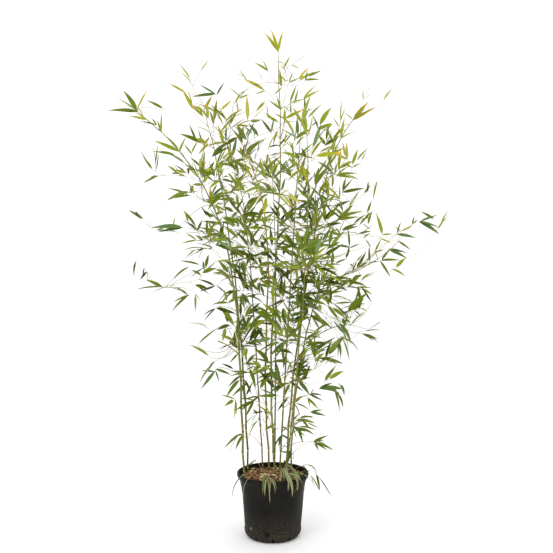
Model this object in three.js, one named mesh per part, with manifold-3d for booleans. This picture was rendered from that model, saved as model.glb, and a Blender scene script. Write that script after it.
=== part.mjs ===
// A potted bamboo: ten canes in a round nursery pot, with side boughs and open masses of foliage.
// Millimetres, +Z up. The origin is the centre of the pot's flat underside, and the plant's front
// faces -Y.
import * as THREE from 'three';
import { mergeVertices } from 'three/addons/utils/BufferGeometryUtils.js';
import Module from 'manifold-3d';

const wasm = await Module();
wasm.setup();

// ---- Driving dimensions -------------------------------------------------------------------

const GAP = 0.4; // clearance between neighbouring solids

const POT = {
  height: 210,
  rimRadius: 120,
  collarHeight: 25,
  bodyTopRadius: 110,
  bodyFootRadius: 97,
  footRadius: 76,
  heelHeight: 27,
  wall: 2.5,
  floor: 3,
  sides: 32,
};

const SOIL = { level: 191, roughness: 3.5, rings: 3 };

const CANE = { sides: 6, steps: 12, buried: 12, tipRadius: 1 };

const BOUGH = { sides: 5, steps: 5, rootRadius: 2.2, tipRadius: 1.2 };

// A mass bulges unevenly, rises outwards above the droop height and hangs outwards below it. It
// swells by the clearance when it is used to cut its neighbour, which leaves the gap between them.
const MASS = {
  bulge: 0.13, waves: 5, slope: 0.45, slopeReach: 250, droopHeight: 700, clearance: 1.02,
};

// A cane starts at its foot [x, y], leans by a straight run, arches over towards its tip as the
// height fraction to the power of bend, and sways once to the side on its way up.
const CANES = {
  cane_west_arching: {
    foot: [-97, 10], lean: [-40, -10], arch: [-318, -25], sway: 0, bend: 5, top: 1415, radius: 4.0,
  },
  cane_west_tall: {
    foot: [-84, 52], lean: [-50, 50], arch: [-112, 30], sway: 0, bend: 2.5, top: 1470, radius: 3.6,
  },
  cane_rear_thin: {
    foot: [-34, 88], lean: [-70, 60], arch: [-55, 40], sway: 0, bend: 6, top: 1340, radius: 2.8,
  },
  cane_golden: {
    foot: [-10, 66], lean: [-12, -45], arch: [-141, 25], sway: -12, bend: 6, top: 1400, radius: 3.6,
  },
  cane_leader: {
    foot: [8, 15], lean: [2, -15], arch: [5, 15], sway: -14, bend: 3, top: 1640, radius: 3.8,
  },
  cane_front: {
    foot: [22, 34], lean: [62, -160], arch: [6, -55], sway: 0, bend: 3, top: 1350, radius: 3.2,
  },
  cane_east_tall: {
    foot: [46, 80], lean: [40, 50], arch: [155, 30], sway: 0, bend: 1.8, top: 1420, radius: 3.6,
  },
  cane_east_short: {
    foot: [62, 50], lean: [2, -25], arch: [200, -20], sway: 0, bend: 2.1, top: 1110, radius: 3.0,
  },
  cane_front_thin: {
    foot: [42, -18], lean: [110, -140], arch: [-50, -85], sway: 0, bend: 4, top: 1300, radius: 2.8,
  },
  cane_rear: {
    foot: [6, 98], lean: [10, 115], arch: [-20, 75], sway: 0, bend: 4, top: 1260, radius: 3.0,
  },
};

// Each mass of foliage: [centre x, y, z], [width, depth, height].
const MASSES = {
  foliage_top_tip: [[2, 8, 1655], [64, 50, 92]],
  foliage_top_right: [[48, 15, 1566], [135, 80, 98]],
  foliage_top_front: [[98, -45, 1474], [118, 85, 90]],
  foliage_top_left: [[-52, 40, 1515], [125, 85, 85]],
  foliage_upper_front: [[84, -165, 1345], [175, 100, 132]],
  foliage_far_left_tip: [[-487, -22, 1442], [156, 60, 128]],
  foliage_left_high: [[-362, -30, 1372], [125, 90, 150]],
  foliage_left_peak: [[-264, 130, 1536], [155, 80, 120]],
  foliage_left_shoulder: [[-205, 62, 1400], [235, 95, 125]],
  foliage_left_wing: [[-325, -30, 1200], [185, 85, 195]],
  foliage_rear_left_high: [[-110, 155, 1308], [225, 95, 145]],
  foliage_front_left_high: [[-185, -130, 1150], [195, 95, 125]],
  foliage_right_sprig: [[334, 30, 1450], [95, 50, 68]],
  foliage_right_high: [[256, 130, 1399], [125, 95, 140]],
  foliage_front_right_high: [[124, -215, 1230], [150, 95, 150]],
  foliage_right_shoulder: [[251, 110, 1263], [135, 100, 95]],
  foliage_right_wing: [[250, 5, 1155], [125, 90, 98]],
  foliage_front_upper: [[-22, -225, 1145], [180, 100, 150]],
  foliage_rear_upper: [[20, 235, 1222], [230, 105, 168]],
  foliage_left_arm: [[-378, -20, 1042], [158, 70, 68]],
  foliage_left_middle: [[-250, 40, 1002], [140, 95, 165]],
  foliage_rear_left_middle: [[-122, 240, 1078], [220, 105, 165]],
  foliage_rear_right_middle: [[128, 255, 1068], [235, 105, 165]],
  foliage_front_left_middle: [[-66, -205, 958], [195, 105, 170]],
  foliage_right_middle: [[256, -10, 1018], [120, 100, 160]],
  foliage_front_right_middle: [[102, -240, 926], [195, 105, 170]],
  foliage_left_lower: [[-236, -20, 862], [165, 85, 135]],
  foliage_rear_lower: [[-102, 165, 835], [190, 105, 145]],
  foliage_core: [[112, 10, 822], [265, 100, 135]],
  foliage_right_arm_root: [[305, 60, 898], [128, 90, 130]],
  foliage_right_arm: [[418, 40, 936], [136, 80, 150]],
  foliage_right_arm_tip: [[508, 20, 1030], [160, 60, 96]],
  foliage_left_leaf_arm: [[-415, -20, 825], [102, 50, 52]],
  foliage_left_low_arm: [[-230, 20, 772], [210, 90, 100]],
  foliage_right_low: [[297, -30, 702], [88, 70, 85]],
  foliage_front_right_low: [[198, -105, 716], [158, 92, 202]],
  foliage_left_low: [[-228, 20, 650], [96, 80, 110]],
  foliage_rear_low: [[-112, 135, 670], [152, 98, 175]],
  foliage_front_low: [[34, -125, 688], [160, 95, 142]],
  foliage_right_foot: [[180, 20, 492], [112, 75, 212]],
  foliage_left_foot: [[-172, -5, 528], [146, 80, 132]],
  foliage_core_foot: [[18, 15, 530], [180, 90, 180]],
  foliage_front_foot: [[80, -30, 365], [98, 65, 68]],
};

// A bough leaves a cane, or a mass, and ends where it enters the mass named under into.
const BOUGHS = {
  bough_right_arm: { from: 'cane_east_short', height: 755, into: 'foliage_right_arm_root' },
  bough_right_low: { from: 'cane_east_short', height: 630, into: 'foliage_right_low' },
  bough_right_sprig: { from: 'cane_east_tall', height: 1290, into: 'foliage_right_sprig' },
  bough_left_low: { from: 'cane_west_arching', height: 600, into: 'foliage_left_low' },
  bough_left_leaf_arm: { from: 'foliage_left_low_arm', into: 'foliage_left_leaf_arm' },
};

const COLOURS = {
  pot: 0x24221f,
  soil: 0x5a3f2a,
  cane: 0x8f9a4c,
  goldenCane: 0xa9873a,
  bough: 0x8a7a46,
  foliage: 0x5c7f3a,
};

// ---- Helpers ------------------------------------------------------------------------------

// Repeatable numbers from 0 to 1 for one seed.
function seededRandom(seed) {
  let state = (seed * 2654435761 + 12345) >>> 0;
  return () => {
    state = (Math.imul(state, 1664525) + 1013904223) >>> 0;
    return state / 4294967296;
  };
}

// A closed three.js geometry as a solid that can be cut.
function toSolid(geometry) {
  const bare = geometry.clone();
  bare.deleteAttribute('normal');
  bare.deleteAttribute('uv');
  const merged = mergeVertices(bare, 1e-4);
  return new wasm.Manifold(new wasm.Mesh({
    numProp: 3,
    vertProperties: new Float32Array(merged.attributes.position.array),
    triVerts: new Uint32Array(merged.index.array),
  }));
}

// The largest single body of a solid, as a geometry.
function toGeometry(solid) {
  const bodies = solid.decompose();
  bodies.sort((a, b) => b.volume() - a.volume());
  const mesh = bodies[0].getMesh();
  const geometry = new THREE.BufferGeometry();
  geometry.setAttribute('position', new THREE.BufferAttribute(mesh.vertProperties, 3));
  geometry.setIndex(new THREE.BufferAttribute(mesh.triVerts, 1));
  geometry.computeVertexNormals();
  return geometry;
}

// A tapering round limb along path(t), t from 0 to 1, closed at both ends.
function limb(path, radiusAt, sides, steps) {
  const geometry = new THREE.CylinderGeometry(1, 1, 1, sides, steps);
  const position = geometry.attributes.position;
  const point = new THREE.Vector3();
  for (let i = 0; i < position.count; i += 1) {
    point.fromBufferAttribute(position, i);
    const t = THREE.MathUtils.clamp(point.y + 0.5, 0, 1);
    const along = path(Math.min(t + 0.01, 1)).sub(path(Math.max(t - 0.01, 0))).normalize();
    const across = new THREE.Vector3(0, -1, 0).cross(along).normalize();
    const inward = across.clone().cross(along);
    const radius = radiusAt(t);
    const place = path(t)
      .addScaledVector(across, point.x * radius)
      .addScaledVector(inward, point.z * radius);
    position.setXYZ(i, place.x, place.y, place.z);
  }
  return geometry;
}

// ---- Pot and soil -------------------------------------------------------------------------

// Radius of the pot's outer wall below the collar at height z: a rounded heel, then a straight taper.
function wallRadius(z) {
  if (z < POT.heelHeight) {
    const rise = 1 - z / POT.heelHeight;
    return POT.footRadius + (POT.bodyFootRadius - POT.footRadius) * Math.sqrt(1 - rise * rise);
  }
  const up = (z - POT.heelHeight) / (POT.height - POT.collarHeight - POT.heelHeight);
  return POT.bodyFootRadius + (POT.bodyTopRadius - POT.bodyFootRadius) * up;
}

function potGeometry() {
  const collarFoot = POT.height - POT.collarHeight;
  const heelSteps = 5;
  const outer = [];
  for (let i = 0; i <= heelSteps; i += 1) {
    // the steps crowd towards the floor, where the heel turns fastest
    const z = POT.heelHeight * (i / heelSteps) ** 2;
    outer.push(new THREE.Vector2(wallRadius(z), z));
  }
  outer.push(
    new THREE.Vector2(wallRadius(collarFoot), collarFoot),
    new THREE.Vector2(POT.rimRadius - 1, collarFoot + 1),
    new THREE.Vector2(POT.rimRadius, POT.height - 2),
    new THREE.Vector2(POT.rimRadius - 2, POT.height),
  );
  const inner = [
    new THREE.Vector2(POT.rimRadius - POT.wall - 2, POT.height),
    new THREE.Vector2(wallRadius(collarFoot) - POT.wall, collarFoot),
    new THREE.Vector2(wallRadius(POT.heelHeight) - POT.wall, POT.heelHeight),
    new THREE.Vector2(wallRadius(POT.floor) - POT.wall, POT.floor),
  ];
  const profile = [new THREE.Vector2(0, 0), ...outer, ...inner, new THREE.Vector2(0, POT.floor)];
  return new THREE.LatheGeometry(profile, POT.sides).rotateX(Math.PI / 2);
}

// A low uneven relief of the bark mulch, from 0 at the pot's wall.
function mulchRelief(x, y) {
  const wave = Math.sin(x / 17 + 1.3) * Math.cos(y / 13) + 0.6 * Math.sin((x + y) / 9);
  return SOIL.roughness * wave;
}

function soilGeometry() {
  const inset = POT.wall + GAP;
  const floor = POT.floor + GAP;
  const profile = [
    new THREE.Vector2(0, floor),
    new THREE.Vector2(wallRadius(POT.floor) - inset, floor),
    new THREE.Vector2(wallRadius(POT.heelHeight) - inset, POT.heelHeight),
  ];
  const edge = wallRadius(SOIL.level - SOIL.roughness * 2) - inset;
  for (let ring = 0; ring < SOIL.rings; ring += 1) {
    profile.push(new THREE.Vector2(edge * (1 - ring / SOIL.rings), SOIL.level));
  }
  profile.push(new THREE.Vector2(0, SOIL.level));
  const geometry = new THREE.LatheGeometry(profile, POT.sides).rotateX(Math.PI / 2);
  const position = geometry.attributes.position;
  for (let i = 0; i < position.count; i += 1) {
    if (position.getZ(i) > SOIL.level - 0.5) {
      const relief = mulchRelief(position.getX(i), position.getY(i));
      position.setZ(i, SOIL.level + relief);
    }
  }
  return geometry;
}

// ---- Canes, boughs and foliage ------------------------------------------------------------

function canePath(cane) {
  const start = SOIL.level - CANE.buried;
  return (t) => new THREE.Vector3(
    cane.foot[0] + cane.lean[0] * t + cane.arch[0] * t ** cane.bend
      + cane.sway * Math.sin(2 * Math.PI * t),
    cane.foot[1] + cane.lean[1] * t + cane.arch[1] * t ** cane.bend,
    start + (cane.top - start) * t,
  );
}

function caneGeometry(cane, swell = 0) {
  const taper = (t) => cane.radius + (CANE.tipRadius - cane.radius) * t ** 1.5 + swell;
  return limb(canePath(cane), taper, CANE.sides, CANE.steps);
}

function heightFraction(cane, height) {
  const start = SOIL.level - CANE.buried;
  return (height - start) / (cane.top - start);
}

function boughGeometry(bough, swell = 0) {
  const end = new THREE.Vector3(...MASSES[bough.into][0]);
  const start = bough.from in CANES
    ? canePath(CANES[bough.from])(heightFraction(CANES[bough.from], bough.height))
    : new THREE.Vector3(...MASSES[bough.from][0]);
  // It sets off steeply and flattens out, as the side boughs of a bamboo do.
  const lift = new THREE.Vector3(0, 0, start.distanceTo(end) * 0.12);
  const path = (t) => start.clone().lerp(end, t).addScaledVector(lift, Math.sin(Math.PI * t));
  const taper = (t) => BOUGH.rootRadius + (BOUGH.tipRadius - BOUGH.rootRadius) * t + swell;
  return limb(path, taper, BOUGH.sides, BOUGH.steps);
}

// An uneven round solid that fills the named size exactly. The bulges differ with each seed.
function massGeometry([centre, size], seed) {
  const geometry = new THREE.IcosahedronGeometry(1, 1);
  const random = seededRandom(seed);
  const outward = THREE.MathUtils.clamp(centre[0] / MASS.slopeReach, -1, 1);
  const slope = MASS.slope * outward * (centre[2] > MASS.droopHeight ? 1 : -1);
  const waves = Array.from({ length: MASS.waves }, () => ({
    way: new THREE.Vector3(random() - 0.5, random() - 0.5, random() - 0.5).normalize(),
    pitch: 2 + 2.5 * random(),
    shift: 2 * Math.PI * random(),
  }));
  const position = geometry.attributes.position;
  const point = new THREE.Vector3();
  for (let i = 0; i < position.count; i += 1) {
    point.fromBufferAttribute(position, i);
    let bulge = 1;
    for (const wave of waves) {
      bulge += MASS.bulge * Math.sin(wave.pitch * point.dot(wave.way) + wave.shift);
    }
    point.multiplyScalar(bulge);
    position.setXYZ(i, point.x, point.y, point.z + slope * point.x);
  }
  geometry.computeBoundingBox();
  const box = geometry.boundingBox;
  const middle = box.getCenter(new THREE.Vector3());
  const span = box.getSize(new THREE.Vector3());
  geometry.translate(-middle.x, -middle.y, -middle.z);
  geometry.scale(size[0] / span.x, size[1] / span.y, size[2] / span.z);
  geometry.translate(...centre);
  return geometry;
}

// The same mass, a little larger all round, as the tool that cuts its neighbours.
function massCutter(mass, seed) {
  const [centre, size] = mass;
  return toSolid(massGeometry([centre, size.map((side) => side * MASS.clearance)], seed));
}

// ---- Assembly -----------------------------------------------------------------------------

const group = new THREE.Group();

function addPart(name, geometry, colour, roughness) {
  const material = new THREE.MeshStandardMaterial({ color: colour, roughness, metalness: 0 });
  const mesh = new THREE.Mesh(geometry, material);
  mesh.name = name;
  group.add(mesh);
}

addPart('pot', potGeometry(), COLOURS.pot, 0.75);

let soil = toSolid(soilGeometry());
const caneCutters = [];
for (const [name, cane] of Object.entries(CANES)) {
  const colour = name === 'cane_golden' ? COLOURS.goldenCane : COLOURS.cane;
  addPart(name, caneGeometry(cane), colour, 0.45);
  caneCutters.push(toSolid(caneGeometry(cane, GAP)));
}
for (const cutter of caneCutters) {
  soil = soil.subtract(cutter);
}
addPart('soil', toGeometry(soil), COLOURS.soil, 0.95);

const names = Object.keys(MASSES);
const boughCutters = Object.entries(BOUGHS).map(([name, bough]) => ({
  name,
  bough,
  solid: toSolid(boughGeometry(bough, GAP)),
}));

names.forEach((name, seed) => {
  let mass = toSolid(massGeometry(MASSES[name], seed + 1));
  for (const cutter of caneCutters) {
    mass = mass.subtract(cutter);
  }
  for (const { bough, solid } of boughCutters) {
    if (bough.into !== name && bough.from !== name) {
      mass = mass.subtract(solid);
    }
  }
  for (let earlier = 0; earlier < seed; earlier += 1) {
    mass = mass.subtract(massCutter(MASSES[names[earlier]], earlier + 1));
  }
  addPart(name, toGeometry(mass), COLOURS.foliage, 0.6);
});

for (const { name, bough } of boughCutters) {
  let solid = toSolid(boughGeometry(bough));
  for (const cutter of caneCutters) {
    solid = solid.subtract(cutter);
  }
  for (const end of [bough.from, bough.into]) {
    if (end in MASSES) {
      solid = solid.subtract(massCutter(MASSES[end], names.indexOf(end) + 1));
    }
  }
  addPart(name, toGeometry(solid), COLOURS.bough, 0.55);
}

export default group;
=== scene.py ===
"""Looks of a potted bamboo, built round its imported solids.

Ten canes stand in a black nursery pot under bark mulch. Branchlets leave the nodes of the canes,
carry twigs, and every twig ends in a spray of narrow leaves, which together fill the masses of
foliage that the solids lay out. Lengths are metres, +Z is up and the front of the plant faces -Y.
"""

import logging
import math
from dataclasses import dataclass, field, replace
from enum import Enum
from typing import Any, Iterable, Sequence

import bpy
import numpy as np
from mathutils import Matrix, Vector


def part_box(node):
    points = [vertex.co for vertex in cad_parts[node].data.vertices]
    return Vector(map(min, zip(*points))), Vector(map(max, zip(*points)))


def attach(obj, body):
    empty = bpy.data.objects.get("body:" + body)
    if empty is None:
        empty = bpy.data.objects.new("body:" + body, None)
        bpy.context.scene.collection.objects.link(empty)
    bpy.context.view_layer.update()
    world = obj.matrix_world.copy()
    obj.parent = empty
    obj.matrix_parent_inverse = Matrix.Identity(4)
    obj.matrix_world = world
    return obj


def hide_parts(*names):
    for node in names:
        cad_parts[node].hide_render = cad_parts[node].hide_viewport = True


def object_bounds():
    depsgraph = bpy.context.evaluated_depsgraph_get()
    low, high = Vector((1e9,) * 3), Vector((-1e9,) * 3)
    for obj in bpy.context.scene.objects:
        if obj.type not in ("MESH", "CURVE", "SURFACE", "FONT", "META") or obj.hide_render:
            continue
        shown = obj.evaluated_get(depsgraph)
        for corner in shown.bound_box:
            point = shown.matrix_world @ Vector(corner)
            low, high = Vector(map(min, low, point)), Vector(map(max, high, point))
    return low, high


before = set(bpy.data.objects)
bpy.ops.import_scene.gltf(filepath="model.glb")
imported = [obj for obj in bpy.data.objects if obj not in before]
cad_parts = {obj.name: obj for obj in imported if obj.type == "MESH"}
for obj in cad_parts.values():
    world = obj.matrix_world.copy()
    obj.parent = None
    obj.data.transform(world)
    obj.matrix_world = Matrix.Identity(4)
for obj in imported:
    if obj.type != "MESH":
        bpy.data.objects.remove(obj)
CAD_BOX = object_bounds()

LOG = logging.getLogger("bamboo")
UP = np.array([0.0, 0.0, 1.0])
REARWARD = np.array([0.0, 1.0, 0.0])
MM = 0.001
TURN = 2 * math.pi

Array = np.ndarray
Pair = tuple[float, float]
Triple = tuple[float, float, float]
Colour = Triple


# ---- Vectors and curves ----


def unit(vectors: Array) -> Array:
    """Vectors scaled to length 1 along their last axis."""
    length = np.linalg.norm(vectors, axis=-1, keepdims=True)
    return vectors / np.maximum(length, 1e-9)


def square_to(axis: Array, vectors: Array) -> Array:
    """What is left of the vectors at right angles to the unit axis, at length 1."""
    along = np.sum(axis * vectors, axis=-1, keepdims=True)
    return unit(vectors - along * axis)


def turned(vectors: Array, axis: Array, angle: Array) -> Array:
    """Vectors at right angles to the unit axis, turned about it.

    A turn by an angle is the vector times its cosine plus the cross product of axis and vector
    times its sine.

    Args:
        vectors: unit vectors, shape (..., 3).
        axis: unit axes, shape (..., 3).
        angle: angles in radians, shape (...).

    Returns:
        The turned vectors.
    """
    return np.cos(angle)[..., None] * vectors + np.sin(angle)[..., None] * np.cross(axis, vectors)


def bezier(start: Array, first: Array, second: Array, end: Array, steps: int) -> Array:
    """Cubic Bezier curves: the four points weighted by the Bernstein terms of the third degree.

    Args:
        start: first points, shape (N, 3).
        first: handles by the start, shape (N, 3).
        second: handles by the end, shape (N, 3).
        end: last points, shape (N, 3).
        steps: how many points each curve gets.

    Returns:
        Points of shape (N, steps, 3).
    """
    t = np.linspace(0, 1, steps)[None, :, None]
    return (
        (1 - t) ** 3 * start[:, None]
        + 3 * t * (1 - t) ** 2 * first[:, None]
        + 3 * t**2 * (1 - t) * second[:, None]
        + t**3 * end[:, None]
    )


def smooth_line(points: Array, count: int) -> Array:
    """A smooth line through points, evenly spaced in chord length.

    Between two points runs a cubic Hermite arc, whose slope at each point is the slope from the
    point before to the point after.

    Args:
        points: the points to pass through, shape (K, 3).
        count: how many points the line gets.

    Returns:
        Points of shape (count, 3).
    """
    chord = run_along(points)
    slope = np.gradient(points, chord, axis=0)
    at = np.linspace(0, chord[-1], count)
    i = np.clip(np.searchsorted(chord, at, side="right") - 1, 0, len(points) - 2)
    span = (chord[i + 1] - chord[i])[:, None]
    t = ((at - chord[i]) / span[:, 0])[:, None]
    return (
        (2 * t**3 - 3 * t**2 + 1) * points[i]
        + (t**3 - 2 * t**2 + t) * span * slope[i]
        + (3 * t**2 - 2 * t**3) * points[i + 1]
        + (t**3 - t**2) * span * slope[i + 1]
    )


def run_along(line: Array) -> Array:
    """Length from the line's start to each of its points."""
    return np.concatenate([[0], np.cumsum(np.linalg.norm(np.diff(line, axis=0), axis=1))])


def at_run(at: Array, run: Array, line: Array) -> Array:
    """The line, or anything else given at its points, at these lengths along it."""
    return np.stack([np.interp(at, run, line[:, k]) for k in range(3)], -1)


def tangents(paths: Array) -> Array:
    """Unit directions along paths of shape (..., S, 3), by central differences."""
    return unit(np.gradient(paths, axis=-2))


def tube_grid(paths: Array, radii: Array, sides: int) -> Array:
    """Round tubes: at each point a circle square to the path.

    The circle's first direction is the part of a fixed sideways vector at right angles to the
    path, so that the rings don't spin on the way along.

    Args:
        paths: centrelines, shape (N, S, 3).
        radii: radii along them, shape (N, S).
        sides: corners of each ring, an even number.

    Returns:
        Points of shape (N, S, sides, 3).
    """
    along = tangents(paths)
    sideways = np.broadcast_to(np.array([0.31, -0.95, 0.05]), along.shape)
    first = square_to(along, sideways)
    second = np.cross(along, first)
    turn = TURN * np.arange(sides) / sides
    ring = (
        np.cos(turn)[:, None] * first[..., None, :] + np.sin(turn)[:, None] * second[..., None, :]
    )
    return paths[..., None, :] + radii[..., None, None] * ring


# ---- Mesh building ----


@dataclass
class Surface:
    """Quads gathered for one mesh, with a material slot for each and a map position per corner."""

    points: list[Array] = field(default_factory=list)
    quads: list[Array] = field(default_factory=list)
    slots: list[Array] = field(default_factory=list)
    maps: list[Array] = field(default_factory=list)
    values: dict[str, list[Array]] = field(default_factory=dict)
    count: int = 0

    def add_tubes(self, grid: Array, slots: Any = 0, strips: int = 1, **values: Array) -> None:
        """Adds N closed tubes whose rings have an even number of corners.

        Neighbouring rings are joined by quads, and each end ring is closed by quads between
        corner j and its mirror image across the ring. The map runs round the tube in u and along
        it in v, folded into as many side by side strips as asked.

        Args:
            grid: ring points, shape (N, S, A, 3).
            slots: material slot, a number or an array that fits (N, S - 1, A).
            strips: how many strips the length is folded into on the map.
            values: point values by name, each fitting (N, S, A).
        """
        n, s, a = grid.shape[:3]
        index = self.count + np.arange(n * s * a).reshape(n, s, a)
        near, far = index[:, :-1], index[:, 1:]
        wall = np.stack([near, np.roll(near, -1, 2), np.roll(far, -1, 2), far], -1)
        slot = np.broadcast_to(np.asarray(slots), (n, s - 1, a))
        j = np.arange(a // 2 - 1)
        cap = np.stack([j, j + 1, a - 2 - j, a - 1 - j], -1)
        caps = np.concatenate([index[:, 0][:, cap[:, ::-1]], index[:, -1][:, cap]], 1)
        self.quads += [wall.reshape(-1, 4), caps.reshape(-1, 4)]
        cap_slot = np.repeat(slot[:, [0, -1], 0], len(j), axis=1)
        self.slots += [slot.reshape(-1), cap_slot.reshape(-1)]
        self.maps += [self._strip_map(n, s, a, strips), np.full((caps.size, 2), 0.001)]
        self.points.append(grid.reshape(-1, 3))
        for name, value in values.items():
            spread = np.broadcast_to(value, (n, s, a)).reshape(-1)
            self.values.setdefault(name, []).append(spread)
        self.count += n * s * a

    @staticmethod
    def _strip_map(n: int, s: int, a: int, strips: int) -> Array:
        """Map corners of the walls: a unit square for the tube, cut into strips along its length."""
        row = np.arange(s - 1)
        per_strip = math.ceil((s - 1) / strips)
        strip, v = row // per_strip, row % per_strip
        left = np.arange(a) / a
        u = np.stack([left, left + 1 / a, left + 1 / a, left], -1)
        u = (strip[:, None, None] + 0.02 + 0.96 * u) / strips
        v = (v[:, None, None] + np.array([0, 0, 1, 1])) / per_strip
        corners = np.stack(np.broadcast_arrays(u, v), -1)
        return np.broadcast_to(corners, (n,) + corners.shape).reshape(-1, 2)

    def build(self, name: str, materials: Sequence[Any], crease_sides: int = 0) -> Any:
        """Makes the mesh object.

        Args:
            name: the piece's name.
            materials: one for each slot.
            crease_sides: if set, every piece is a tube of that many sides whose lengthwise edges
                stay sharp, as on a leaf's margins and midrib.

        Returns:
            The new object, linked to the scene.
        """
        mesh = bpy.data.meshes.new(name)
        quads = np.concatenate(self.quads)
        mesh.vertices.add(self.count)
        mesh.loops.add(quads.size)
        mesh.polygons.add(len(quads))
        mesh.vertices.foreach_set("co", np.concatenate(self.points).astype(np.float32).ravel())
        mesh.loops.foreach_set("vertex_index", quads.astype(np.int32).ravel())
        mesh.polygons.foreach_set("loop_start", np.arange(0, quads.size, 4, dtype=np.int32))
        mesh.polygons.foreach_set("material_index", np.concatenate(self.slots).astype(np.int32))
        mesh.polygons.foreach_set("use_smooth", np.ones(len(quads), bool))
        mesh.update(calc_edges=True)
        layer = mesh.uv_layers.new(name="OFBake")
        layer.uv.foreach_set("vector", np.concatenate(self.maps).astype(np.float32).ravel())
        for label, parts in self.values.items():
            data = mesh.attributes.new(label, "FLOAT", "POINT").data
            data.foreach_set("value", np.concatenate(parts).astype(np.float32))
        if crease_sides:
            ends = np.empty(2 * len(mesh.edges), np.int32)
            mesh.edges.foreach_get("vertices", ends)
            lengthwise = ends[::2] % crease_sides == ends[1::2] % crease_sides
            sharp = mesh.attributes.new("sharp_edge", "BOOLEAN", "EDGE")
            sharp.data.foreach_set("value", lengthwise)
        for material in materials:
            mesh.materials.append(material)
        mesh.validate()
        return put(name, mesh)


def put(name: str, data: Any) -> Any:
    """A new object with this data, linked to the scene."""
    thing = bpy.data.objects.new(name, data)
    bpy.context.scene.collection.objects.link(thing)
    return thing


def settle(piece: Any, nodes: Iterable[str] = ()) -> None:
    """Rides the piece on the plant and hides the solids it stands for."""
    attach(piece, "root")
    nodes = list(nodes)
    if nodes:
        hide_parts(*nodes)
    faces = len(piece.data.polygons)
    LOG.info("%s: %d faces, stands for %d solids", piece.name, faces, len(nodes))


# ---- Shader maths ----


class Sock:
    """An output socket that Python arithmetic extends with Math nodes."""

    def __init__(self, tree: "Tree", socket: Any) -> None:
        """Wraps one socket of a tree."""
        self.tree = tree
        self.socket = socket

    def _math(self, operation: str, first: Any, second: Any) -> "Sock":
        """A Math node on two values."""
        node = self.tree.node("ShaderNodeMath", {"operation": operation}, {0: first, 1: second})
        return Sock(self.tree, node.outputs[0])

    def __add__(self, other: Any) -> "Sock":
        """Sum."""
        return self._math("ADD", self, other)

    def __sub__(self, other: Any) -> "Sock":
        """Difference."""
        return self._math("SUBTRACT", self, other)

    def __rsub__(self, other: Any) -> "Sock":
        """Difference from a plain number."""
        return self._math("SUBTRACT", other, self)

    def __mul__(self, other: Any) -> "Sock":
        """Product."""
        return self._math("MULTIPLY", self, other)

    __radd__ = __add__
    __rmul__ = __mul__

    def sine(self) -> "Sock":
        """Sine of the value in radians."""
        return self._math("SINE", self, 0.0)

    def size(self) -> "Sock":
        """The value without its sign."""
        return self._math("ABSOLUTE", self, 0.0)

    def ramp(self, low: float, high: float) -> "Sock":
        """0 below low and 1 above high, or the other way round if low is the larger."""
        settings = {"interpolation_type": "SMOOTHSTEP"}
        inputs = {"Value": self, "From Min": low, "From Max": high}
        return Sock(self.tree, self.tree.node("ShaderNodeMapRange", settings, inputs).outputs[0])


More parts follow.
